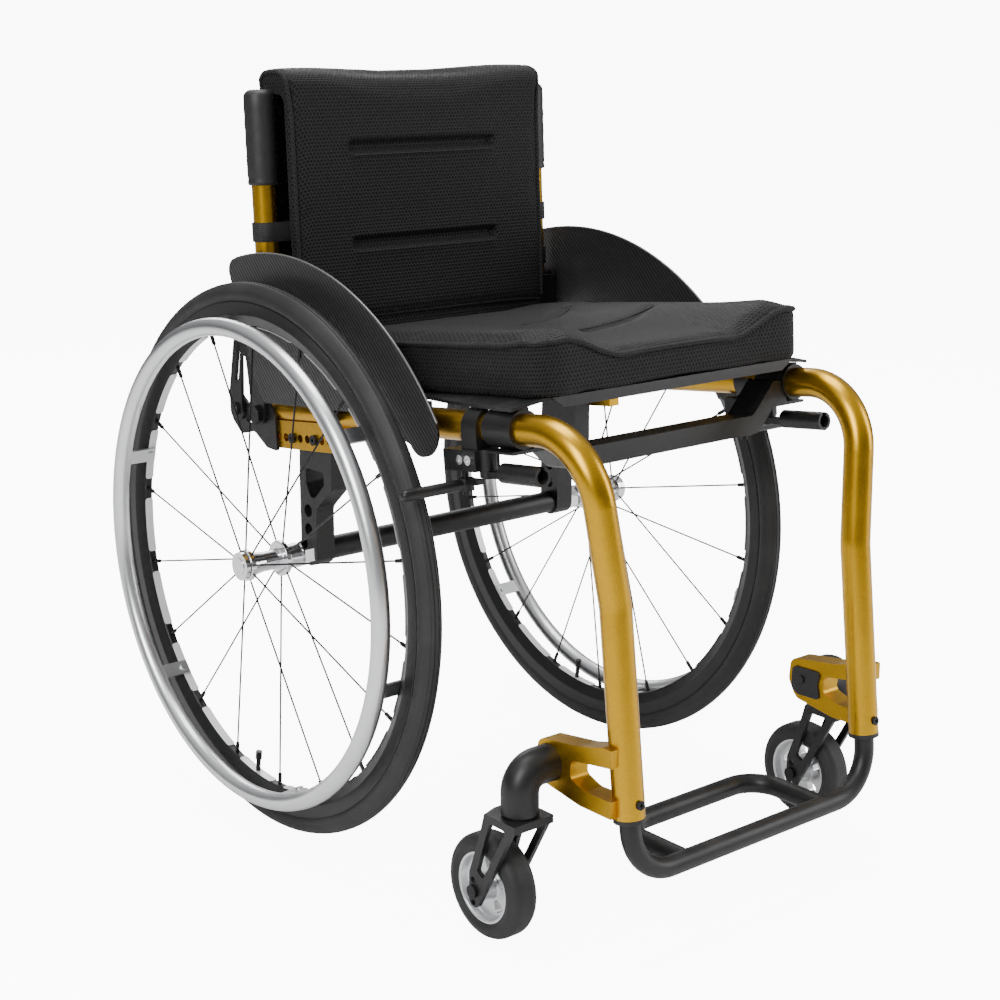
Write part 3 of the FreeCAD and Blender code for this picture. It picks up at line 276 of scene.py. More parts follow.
class Twill(Effect):
    """Slanted cords of a twill weave, with a finer cross thread."""

    name = "twill"
    inputs = (("Pitch", 0.004),)
    outputs = ("Cord", "Thread")

    def wire(self, graph: Graph, given: Given) -> Outputs:
        """Sine waves across and along the slant."""
        turns = graph.math("DIVIDE", 2.0 * math.pi, given("Pitch"))
        slant = 0.707
        across = graph.vector("DOT_PRODUCT", given("Place"), (0.0, slant, -slant))
        along = graph.vector("DOT_PRODUCT", given("Place"), (0.0, slant, slant))
        cord = graph.math("SINE", graph.math("MULTIPLY", across, turns))
        finer = graph.math("MULTIPLY", turns, 2.0)
        thread = graph.math("SINE", graph.math("MULTIPLY", along, finer))
        return {"Cord": graph.ease(cord, -0.7, 0.8), "Thread": graph.ease(thread, -1.0, 1.0)}


GRAIN, EDGE_WEAR_AND_HIGHLIGHT, DUST, HOLES, TWILL = FineGrain(), EdgeRub(), Dust(), HexHoles(), Twill()


# ---------------------------------------------------------------- finishes

class Finish:
    """A named surface. Each kind builds its own material once."""

    name: str

    def dress(self, graph: Graph, shader: Node, place: Socket) -> None:
        """Fill in the Principled BSDF, with Object coordinates to place patterns by."""
        raise NotImplementedError

    def material(self) -> bpy.types.Material:
        """The finish's material, built the first time it is asked for."""
        title = "finish_" + self.name
        known = bpy.data.materials.get(title)
        if known is not None:
            return known
        made = bpy.data.materials.new(title)
        made.use_nodes = True
        graph = Graph(made.node_tree)
        shader = made.node_tree.nodes["Principled BSDF"]
        self.dress(graph, shader, graph.add("ShaderNodeTexCoord").outputs["Object"])
        return made

    def cover(self, piece: Piece) -> None:
        """Put the finish on the whole of a piece."""
        piece.data.materials.clear()
        piece.data.materials.append(self.material())


def bump(graph: Graph, shader: Node, height: Socket, depth: float) -> None:
    """Give a shader a bumpy normal.

    Args:
        graph: the material's graph.
        shader: the shader to change.
        height: the bumps, between 0 and 1.
        depth: how tall they are, in metres.
    """
    values = {"Strength": 1.0, "Distance": depth, "Height": height}
    node = graph.fill(graph.add("ShaderNodeBump"), values)
    graph.feed(shader.inputs["Normal"], node.outputs[0])


@dataclass(frozen=True)
class Coating(Finish):
    """Paint, plastic or bare metal with grain, slow changes of tone, dust, and edges lightened for
    wear and as a painted highlight.
    """

    name: str
    colour: Colour
    deep: Colour
    metallic: float
    roughness: float
    grain: float = 900.0
    depth: float = 0.00002
    coat: float = 0.0
    rub: float = 0.3
    rubbed: Colour = (0.35, 0.34, 0.33)
    dust: float = 0.1
    dust_colour: Colour = (0.42, 0.4, 0.37)
    coat_roughness: float = 0.25
    rub_reach: float = 0.0008

    def dress(self, graph: Graph, shader: Node, place: Socket) -> None:
        """Mix the two tones by the grain, then lighten the edges for wear and as a painted
        highlight, and lay the dust.
        """
        grain = GRAIN.place(graph, Place=place, Scale=self.grain).outputs
        tone = graph.math("MULTIPLY_ADD", grain["Sparkle"], 0.45,
                          graph.math("MULTIPLY", grain["Tone"], 0.55), clamp=True)
        colour = graph.mix(tone, self.deep, self.colour)
        # Edges take a lighter colour: partly wear, partly a painted highlight.
        rub = EDGE_WEAR_AND_HIGHLIGHT.place(graph, Place=place, Radius=self.rub_reach).outputs["Rub"]
        colour = graph.mix(graph.math("MULTIPLY", rub, self.rub), colour, self.rubbed)
        dust = DUST.place(graph, Place=place).outputs["Dust"]
        veil = graph.math("MULTIPLY", dust, self.dust)
        rough = graph.math("MULTIPLY_ADD", grain["Tone"], 0.14, self.roughness - 0.07)
        graph.fill(shader, {
            "Base Color": graph.mix(veil, colour, self.dust_colour),
            "Roughness": graph.math("ADD", rough, veil, clamp=True),
            "Metallic": self.metallic,
            "Coat Weight": self.coat,
            "Coat Roughness": self.coat_roughness})
        bump(graph, shader, grain["Height"], self.depth)


@dataclass(frozen=True)
class Rubber(Finish):
    """Dull tyre rubber with a paler bloom where it is dusty."""

    name: str = "tyre_rubber"
    colour: Colour = (0.010, 0.010, 0.0105)
    bloom: Colour = (0.020, 0.0197, 0.0195)

    def dress(self, graph: Graph, shader: Node, place: Socket) -> None:
        """Cloudy bloom over dark rubber, with a fine grain."""
        grain = GRAIN.place(graph, Place=place, Scale=1400.0).outputs
        cloud = graph.ease(graph.noise(place, 22.0, 4.0), 0.35, 0.8)
        graph.fill(shader, {
            "Base Color": graph.mix(cloud, self.colour, self.bloom),
            "Roughness": graph.math("MULTIPLY_ADD", grain["Tone"], 0.15, 0.52)})
        bump(graph, shader, grain["Height"], 0.00004)


@dataclass(frozen=True)
class CarbonWeave(Finish):
    """Lacquered carbon cloth with a slanted weave."""

    name: str = "carbon"
    colour: Colour = (0.0015, 0.0015, 0.0017)
    bright: Colour = (0.030, 0.030, 0.0315)
    pitch: float = 0.0041

    def dress(self, graph: Graph, shader: Node, place: Socket) -> None:
        """Bright cords between dark ones, broken by the cross thread."""
        weave = TWILL.place(graph, Place=place, Pitch=self.pitch).outputs
        thread = graph.math("MULTIPLY_ADD", weave["Thread"], 0.35, 0.65)
        shine = graph.math("MULTIPLY", weave["Cord"], thread)
        graph.fill(shader, {
            "Base Color": graph.mix(shine, self.colour, self.bright),
            "Roughness": graph.math("MULTIPLY_ADD", shine, -0.16, 0.5),
            "Coat Weight": 0.15,
            "Coat Roughness": 0.2})
        bump(graph, shader, weave["Cord"], 0.0002)


@dataclass(frozen=True)
class MeshCloth(Finish):
    """Black spacer mesh. It reads the piece's own UV map, laid out in metres."""

    name: str = "mesh_fabric"
    rib: Colour = (0.019, 0.019, 0.0195)
    hole: Colour = (0.0006, 0.0006, 0.0007)
    pitch: float = 0.0043
    worn: Colour = (0.009, 0.009, 0.0094)

    def dress(self, graph: Graph, shader: Node, place: Socket) -> None:
        """Dark holes in paler ribs, each rib of fuzzy yarn."""
        laid = graph.add("ShaderNodeUVMap", uv_map="cloth").outputs[0]
        mesh = HOLES.place(graph, Place=laid, Pitch=self.pitch).outputs
        yarn = graph.noise(place, 2600.0, 1.0)
        rib = graph.mix(yarn, tuple(0.6 * value for value in self.rib), self.rib)
        slow = graph.noise(place, 9.0, 2.0)
        rib = graph.mix(graph.math("MULTIPLY", slow, 0.35), rib, self.worn)
        graph.fill(shader, {
            "Base Color": graph.mix(mesh["Hole"], rib, self.hole),
            "Roughness": graph.math("MULTIPLY_ADD", yarn, 0.2, 0.56),
            "Specular IOR Level": 0.2,
            "Sheen Weight": 0.03,
            "Sheen Roughness": 0.45})
        bump(graph, shader, graph.math("MULTIPLY_ADD", yarn, 0.12, mesh["Height"]), 0.0006)


@dataclass(frozen=True)
class Webbing(Finish):
    """Ribbed nylon tape, along the piece's own UV map."""

    name: str = "webbing"
    colour: Colour = (0.004, 0.004, 0.0043)
    bright: Colour = (0.016, 0.016, 0.0165)
    ribs: float = 2600.0

    def dress(self, graph: Graph, shader: Node, place: Socket) -> None:
        """Cross ribs and a herringbone of two thread directions."""
        laid = graph.add("ShaderNodeUVMap", uv_map="cloth").outputs[0]
        heights = []
        for direction in ((self.ribs, self.ribs, 0.0), (self.ribs, -self.ribs, 0.0)):
            wave = graph.math("SINE", graph.vector("DOT_PRODUCT", laid, direction))
            heights.append(graph.ease(wave, -0.8, 0.8))
        weave = graph.math("MAXIMUM", *heights)
        yarn = graph.math("MULTIPLY", weave, graph.noise(place, 2400.0, 1.0))
        graph.fill(shader, {
            "Base Color": graph.mix(yarn, self.colour, self.bright),
            "Roughness": graph.math("MULTIPLY_ADD", weave, -0.2, 0.8)})
        bump(graph, shader, weave, 0.00025)


# Each edge colour below is lighter than its finish: partly wear, partly a painted edge highlight.
GOLD = Coating("gold_paint", (0.76, 0.435, 0.020), (0.40, 0.21, 0.006), 1.0, 0.31, grain=1100.0,
               depth=0.00003, coat=0.12, rub=0.25, rubbed=(0.95, 0.72, 0.25), dust=0.02)
GOLD_BLOCK = Coating("gold_block", (0.74, 0.42, 0.020), (0.36, 0.19, 0.005), 1.0, 0.36,
                     grain=800.0, depth=0.00006, coat=0.1, rub=0.4, rubbed=(0.98, 0.76, 0.3),
                     dust=0.02)
BLACK = Coating("black_paint", (0.0075, 0.0075, 0.008), (0.004, 0.004, 0.0043), 0.1, 0.42,
                grain=1000.0, depth=0.00004, rub=0.35, rubbed=(0.09, 0.09, 0.09), dust=0.04)
PAN_BLACK = Coating("pan_black", (0.016, 0.016, 0.0165), (0.010, 0.010, 0.0105), 0.1, 0.45,
                    grain=900.0, depth=0.00005, rub=0.3, rubbed=(0.12, 0.12, 0.12), dust=0.04)
RIM_BLACK = Coating("rim_black", (0.0075, 0.0075, 0.008), (0.0045, 0.0045, 0.0048), 0.2, 0.38,
                    grain=1200.0, depth=0.00002, rub=0.2, rubbed=(0.12, 0.12, 0.12), dust=0.04)
PLASTIC = Coating("black_plastic", (0.011, 0.011, 0.0115), (0.006, 0.006, 0.0063), 0.0, 0.46,
                  grain=700.0, depth=0.00008, rub=0.2, rubbed=(0.07, 0.07, 0.07), dust=0.05)
DARK_STEEL = Coating("dark_steel", (0.018, 0.018, 0.019), (0.009, 0.009, 0.0095), 0.6, 0.36,
                     grain=1500.0, depth=0.00001, rub=0.4, rubbed=(0.2, 0.2, 0.2), dust=0.03)
BRIGHT_STEEL = Coating("bright_steel", (0.78, 0.78, 0.78), (0.6, 0.6, 0.6), 1.0, 0.24,
                       grain=1500.0, depth=0.00001, rub=0.2, rubbed=(0.9, 0.9, 0.9), dust=0.02)
CHROME = Coating("chrome", (0.84, 0.84, 0.86), (0.76, 0.76, 0.78), 1.0, 0.14, grain=1500.0,
                 depth=0.000004, rub=0.0, dust=0.02)
SATIN = Coating("satin_aluminium", (0.8, 0.81, 0.82), (0.66, 0.67, 0.68), 1.0, 0.3,
                grain=1300.0, depth=0.00001, rub=0.1, rubbed=(0.9, 0.9, 0.9), dust=0.03)
SILVER_FILM = Coating("silver_film", (0.8, 0.8, 0.81), (0.7, 0.7, 0.71), 0.3, 0.34,
                      grain=900.0, depth=0.00001, rub=0.0, dust=0.02)
SLEEVE = Coating("sleeve_foam", (0.013, 0.013, 0.0135), (0.009, 0.009, 0.0094), 0.0, 0.5,
                 grain=1500.0, depth=0.00008, rub=0.0, dust=0.03)
# A pale glossy grey that paints the highlight along the side guards' arched edges.
GUARD_HIGHLIGHT_PAINT = Coating("edge_lacquer", (0.16, 0.16, 0.165), (0.08, 0.08, 0.083), 0.2, 0.25,
                       grain=900.0, depth=0.00001, coat=0.6, rub=0.0)
RUBBER, CARBON, MESH, TAPE = Rubber(), CarbonWeave(), MeshCloth(), Webbing()
PIPING = MeshCloth("piping_mesh", (0.032, 0.032, 0.033), (0.002, 0.002, 0.0021), 0.0026)

# A star stands for left and right.
NODE_FINISHES: tuple[tuple[Finish, str, tuple[str, ...]], ...] = (
    (GOLD, "gold_paint", ("frame_tube_*", "back_canes")),
    (GOLD_BLOCK, "gold_paint", ("axle_rails", "caster_arms")),
    (BLACK, "black_paint", (
        "axle_brackets", "camber_tube", "caster_housings", "brace_clamps", "hinge_plates",
        "swing_brackets", "cross_brace", "footrest_bow", "footrest_loop", "brake_bodies",
        "brake_lever_*", "brake_arm_*", "back_bar", "caster_fork_*")),
    (PAN_BLACK, "black_paint", ("seat_pan",)),
    (RIM_BLACK, "black_paint", ("rim_*",)),
    (PLASTIC, "black_plastic", ("arm_covers", "tube_collars", "guard_clips", "seat_mounts")),
    (DARK_STEEL, "dark_steel", (
        "rail_bolts", "frame_bolts", "pivot_bolts", "spokes_*", "fork_bolt_*")),
    (BRIGHT_STEEL, "bright_steel", ("brake_screws", "stem_bearings")),
    (CHROME, "chrome", ("axle_pins", "axle_receivers", "hub_*", "axle_button_*")),
    (SATIN, "satin_aluminium", ("handrim_*", "handrim_tabs_*", "caster_hub_*")),
    (RUBBER, "tyre_rubber", ("caster_tyre_*",)),
    (CARBON, "carbon", ("side_guard_*",)),
)


def dress_nodes() -> None:
    """Give every CAD node that stays in view its finish."""
    for finish, slot, names in NODE_FINISHES:
        spelt = [name.replace("*", side.word) for name in names
                 for side in (Side if "*" in name else (Side.LEFT,))]
        for name in spelt:
            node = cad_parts[name]
            finish.cover(node)
        log.info("%s on %d nodes", finish.name, len(spelt))


# ---------------------------------------------------------------- bench work

LEVEL_WITHIN = 0.0002  # an edge whose ends differ less in height is level


def deselect() -> None:
    """Leave nothing selected, so that an operator acts on the new piece alone."""
    bpy.ops.object.select_all(action="DESELECT")


def pick(piece: Piece) -> None:
    """Make one piece the active and the only selected one."""
    deselect()
    piece.select_set(True)
    bpy.context.view_layer.objects.active = piece


def started(name: str) -> Piece:
    """Name the primitive that was just added and put its place in its mesh.

    Args:
        name: the piece's name.

    Returns:
        The piece.
    """
    piece = bpy.context.object
    piece.name = name
    piece.data.name = name
    bpy.ops.object.transform_apply(location=True, rotation=True, scale=True)
    return piece


def choose(piece: Piece, kind: str, test: Callable[[object], bool]) -> None:
    """Select elements of a mesh in code and enter edit mode with them.

    Args:
        piece: the piece to edit.
        kind: VERT, EDGE or FACE.
        test: says whether an element is wanted.
    """
    pick(piece)
    bpy.ops.object.mode_set(mode="EDIT")
    bpy.ops.mesh.select_mode(type=kind)
    bpy.ops.mesh.select_all(action="DESELECT")
    bpy.ops.object.mode_set(mode="OBJECT")
    mesh = piece.data
    elements = {"VERT": mesh.vertices, "EDGE": mesh.edges, "FACE": mesh.polygons}[kind]
    for element in elements:
        element.select = bool(test(element))
    bpy.ops.object.mode_set(mode="EDIT")


def finish_edit() -> None:
    """Back to object mode."""
    bpy.ops.object.mode_set(mode="OBJECT")


def modify(piece: Piece, kind: str, **settings: object) -> None:
    """Add a modifier and apply it.

    Args:
        piece: the piece to change.
        kind: the modifier's type.
        **settings: its properties.
    """
    pick(piece)
    modifier = piece.modifiers.new(kind.lower(), kind)
    for name, value in settings.items():
        setattr(modifier, name, value)
    bpy.ops.object.modifier_apply(modifier=modifier.name)


def remesh(piece: Piece, voxel: float) -> None:
    """Rebuild a closed piece of even faces of one size."""
    modify(piece, "REMESH", mode="VOXEL", voxel_size=voxel, use_smooth_shade=True)


def corners_of(piece: Piece) -> np.ndarray:
    """The vertices of a mesh as an array of rows."""
    flat = np.empty(len(piece.data.vertices) * 3)
    piece.data.vertices.foreach_get("co", flat)
    return flat.reshape(-1, 3)


def set_corners(piece: Piece, rows: np.ndarray) -> None:
    """Move the vertices of a mesh to an array of rows."""
    piece.data.vertices.foreach_set("co", rows.ravel())
    piece.data.update()


def smooth(piece: Piece, angle: float) -> None:
    """Shade a piece smooth where its faces meet at less than an angle in degrees."""
    pick(piece)
    bpy.ops.object.shade_smooth_by_angle(angle=math.radians(angle))


def settle(piece: Piece, place: Matrix) -> None:
    """Move a piece from its own frame into the chair's, into its mesh."""
    piece.data.transform(place)
    piece.data.update()


def joined(name: str, pieces: Sequence[Piece]) -> Piece:
    """Make one piece of several.

    Args:
        name: the new piece's name.
        pieces: the pieces that go into it.

    Returns:
        The joined piece.
    """
    pick(pieces[0])
    for piece in pieces[1:]:
        piece.select_set(True)
    bpy.ops.object.join()
    pieces[0].name = name
    return pieces[0]


def tube_along(name: str, points: Sequence[Vector], radius: float) -> Piece:
    """A round cord, such as piping, along a smooth line.

    Args:
        name: the piece's name.
        points: where it runs.
        radius: half its thickness.

    Returns:
        The cord as a mesh.
    """
    deselect()
    bpy.ops.curve.primitive_nurbs_path_add()
    curve = bpy.context.object.data
    curve.splines.clear()
    spline = curve.splines.new("NURBS")
    spline.points.add(len(points) - 1)
    for knot, point in zip(spline.points, points):
        knot.co = (*point, 1.0)
    spline.order_u = 3
    spline.use_endpoint_u = True
    spline.resolution_u = 2
    curve.bevel_depth = radius
    curve.bevel_resolution = 2
    curve.use_fill_caps = True
    bpy.ops.object.convert(target="MESH")
    made = started(name)
    smooth(made, 60.0)
    return made


def laid_on(piece: Piece, aims: Sequence[Vector], lift: float = 0.0) -> list[Vector]:
    """Bring the points of a line to the nearest spots on a piece.

    Args:
        piece: the piece under the line.
        aims: the points, near its surface.
        lift: how far over the surface they end.

    Returns:
        The points on the surface.
    """
    line = []
    for aim in aims:
        _, spot, normal, _ = piece.closest_point_on_mesh(aim)
        line.append(spot + normal * lift)
    return line


def round_edges(block: Piece, reach: float, segments: int, upright: bool = False) -> None:
    """Bevel a block's edges.

    Args:
        block: the block.
        reach: how far the bevel starts from each edge.
        segments: how finely it is cut.
        upright: leave the level edges sharp.
    """
    z = corners_of(block)[:, 2]
    level = {edge.index for edge in block.data.edges
             if abs(z[edge.vertices[0]] - z[edge.vertices[1]]) < LEVEL_WITHIN}
    choose(block, "EDGE", lambda edge: not (upright and edge.index in level))
    bpy.ops.mesh.bevel(offset=reach, segments=segments, affect="EDGES")
    finish_edit()


def spun(name: str, profile: Sequence[tuple[float, float]], centre: Vector,
         steps: int) -> Piece:
    """Turn a closed outline about an axle that lies along X.

    Args:
        name: the piece's name.
        profile: points (distance along X from the centre, radius), in order.
        centre: the middle of the axle.
        steps: how many slices the turn has.

    Returns:
        The turned piece, with its normals outwards.
    """
    deselect()
    bpy.ops.mesh.primitive_circle_add(vertices=len(profile), radius=0.01)
    ring = started(name)
    for vertex, (along, radius) in zip(ring.data.vertices, profile):
        vertex.co = centre + Vector((along, -radius, 0.0))
    choose(ring, "VERT", lambda vertex: True)
    bpy.ops.mesh.spin(steps=steps, angle=2 * math.pi, center=centre, axis=(1, 0, 0))
    bpy.ops.mesh.select_all(action="SELECT")
    bpy.ops.mesh.remove_doubles(threshold=0.00002)
    bpy.ops.mesh.normals_make_consistent(inside=False)
    finish_edit()
    return ring


def lay_cloth(piece: Piece,
              across: Callable[[Vector, Vector], tuple[float, float]]) -> None:
    """Lay the piece's UV map out in metres, face by face.

    Args:
        piece: the cloth piece, in its own frame.
        across: gives u and v from a point and its face's normal.
    """
    layer = piece.data.uv_layers.new(name="cloth")
    mesh = piece.data
    for face in mesh.polygons:
        for corner in face.loop_indices:
            point = mesh.vertices[mesh.loops[corner].vertex_index].co
            layer.data[corner].uv = across(point, face.normal)


def puff(piece: Piece, voxel: float, pressure: float, most: float) -> None:
    """Fill a closed cover like a cushion: remesh it, let pressure swell it and cap the swelling.

    Args:
        piece: the closed form.
        voxel: the size of its new faces.
        pressure: the pressure inside.
        most: how far a point may move.
    """
    remesh(piece, voxel)
    before = corners_of(piece)
    pick(piece)
    settings = piece.modifiers.new("cloth", "CLOTH").settings
    settings.quality = 5
    settings.mass = 0.3
    settings.use_pressure = True
    settings.uniform_pressure_force = pressure
    settings.effector_weights.gravity = 0.0
    settings.tension_stiffness = settings.compression_stiffness = 30.0
    settings.bending_stiffness = 2.0
    scene = bpy.context.scene
    for moment in range(1, 21):
        scene.frame_set(moment)
    bpy.ops.object.modifier_apply(modifier="cloth")
    scene.frame_set(1)
    moved = corners_of(piece) - before
    length = np.maximum(np.linalg.norm(moved, axis=1, keepdims=True), 1e-9)
    set_corners(piece, before + moved * np.minimum(1.0, most / length))


def step(value: np.ndarray, low: float, high: float) -> np.ndarray:
    """A smooth step from 0 at low to 1 at high, for arrays."""
    share = np.clip((value - low) / (high - low), 0.0, 1.0)
    return share * share * (3 - 2 * share)


# ---------------------------------------------------------------- the seat cushion

@dataclass
class SeatCushion:
    """The foam cushion in its mesh cover, with a hollow at the front between the thighs' rests."""

    half: float = 0.186
    front: float = 0.389
    rear: float = -0.012
    low: float = 0.0276
    high: float = 0.0805
    corner: float = 0.032
    inset: float = 0.0035
    piping: float = 0.0027
    seam: float = 0.0013
    tuck: float = 0.0034
    tuck_width: float = 0.0065
    crown: float = 0.004
    hollow: float = 0.0215
    routes: tuple[tuple[tuple[float, float], ...], ...] = (
        ((-0.032, 0.284), (0.012, 0.273), (0.055, 0.258), (0.095, 0.233), (0.128, 0.211)),
        ((-0.060, 0.212), (-0.025, 0.203), (0.015, 0.177), (0.065, 0.135), (0.112, 0.092)),
    )

    def top(self, x: np.ndarray, forward: np.ndarray) -> np.ndarray:
        """The height of the top panel.

        Args:
            x: places across the seat.
            forward: distances in front of the axle.

        Returns:
            Heights over the rails.
        """
        side = step(np.abs(x), 0.072, 0.15)
        near = step(forward, 0.20, 0.375)
        middle = self.high - self.crown - (self.hollow - self.crown) * near
        flank = self.high - 0.001 + 0.0035 * step(forward, 0.28, 0.39)
        return middle + (flank - middle) * side

    def cover(self) -> Piece:
        """The stuffed cover: a block with rounded upright corners, shaped and puffed."""
        deselect()
        middle = (0.0, -(self.front + self.rear) / 2, (self.low + self.high) / 2)
        extent = (2 * (self.half - self.inset), self.front - self.rear - 2 * self.inset,
                  self.high - self.low)
        bpy.ops.mesh.primitive_cube_add(size=1, location=middle, scale=extent)
        block = started("seat_cushion_cover")
        round_edges(block, self.corner, 8, upright=True)
        round_edges(block, 0.004, 2)
        remesh(block, 0.0045)
        rows = corners_of(block)
        wanted = self.top(rows[:, 0], -rows[:, 1])
        share = (rows[:, 2] - self.low) / (self.high - self.low)
        rows[:, 2] = self.low + share * (wanted - self.low)
        set_corners(block, rows)
        puff(block, 0.0048, 4.0, 0.006)
        modify(block, "SUBSURF", levels=1, render_levels=1)
        rows = corners_of(block)
        rows[:, 2] = np.maximum(rows[:, 2] - self.sewn(rows), self.low)
        set_corners(block, rows)
        return block

    def laid(self, point: Vector, normal: Vector) -> tuple[float, float]:
        """Where a point of the cover lies on its flat cloth."""
        if abs(normal.z) > 0.62:
            return point.x, point.y
        forward = point.y + self.front
        return point.x + math.copysign(forward, point.x), point.z

    def edge_line(self, cover: Piece) -> list[Vector]:
        """A line round the sides and the front of the top panel, on the cover.

        Args:
            cover: the stuffed cover.

        Returns:
            Points from the rear right, round the front, to the rear left.
        """
        gap, turn = 0.0125, self.corner
        outline = [(-self.half, -(self.rear + 0.03 + gap * k)) for k in range(27)]
        for k in range(9):
            angle = math.pi / 16 * k
            outline.append((-self.half + turn - turn * math.cos(angle),
                            -self.front + turn - turn * math.sin(angle)))
        outline += [(-self.half + turn + gap * k, -self.front) for k in range(1, 13)]
        outline.append((0.0, -self.front))
        outline += [(-x, y) for x, y in reversed(outline[:-1])]
        x, y = np.array(outline).T
        aims = np.stack((x * 1.02, y * 1.01, self.top(x, -y) + 0.004), axis=1)
        return laid_on(cover, [Vector(aim) for aim in aims], 0.0015)

    def seams(self, cover: Piece) -> list[Piece]:
        """The two curved seams on top, each a sunk cord from the hollow to the rear."""
        made = []
        sunk = Vector((0, 0, 0.0002))
        for number, route in enumerate(self.routes):
            aims = [Vector((x, -forward, self.high + 0.01)) for x, forward in route]
            line = [spot - sunk for spot in laid_on(cover, aims)]
            made.append(tube_along(f"cushion_seam_{number}", line, self.seam))
        return made

    def sewn(self, rows: np.ndarray) -> np.ndarray:
        """How far the stitching pulls each point of the top down.

        Args:
            rows: points of the cover.

        Returns:
            A depth for each point.
        """
        depth = np.zeros(len(rows))
        for route in self.routes:
            knots = np.array([(x, -forward) for x, forward in route])
            for start, end in zip(knots[:-1], knots[1:]):
                run = end - start
                share = np.clip((rows[:, :2] - start) @ run / (run @ run), 0.0, 1.0)
                away = np.linalg.norm(rows[:, :2] - start - share[:, None] * run, axis=1)
                depth = np.maximum(depth, self.tuck * np.exp(-(away / self.tuck_width) ** 2))
        return depth * (rows[:, 2] > self.low + 0.02)

    def build(self) -> None:
        """Make the cushion with its piping and seams, on the frame."""
        cover = self.cover()
        piping = tube_along("cushion_piping", self.edge_line(cover), self.piping)
        pieces = [cover, piping, *self.seams(cover)]
        for piece in pieces:
            lay_cloth(piece, self.laid)
            (MESH if piece is cover else PIPING).cover(piece)
            settle(piece, RAILS)
            smooth(piece, 60.0)
        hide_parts("seat_cushion")
        for piece in pieces:
            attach(piece, "frame")
            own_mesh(piece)
        log.info("seat cushion: %d faces", len(cover.data.polygons))


# ---------------------------------------------------------------- the back upholstery

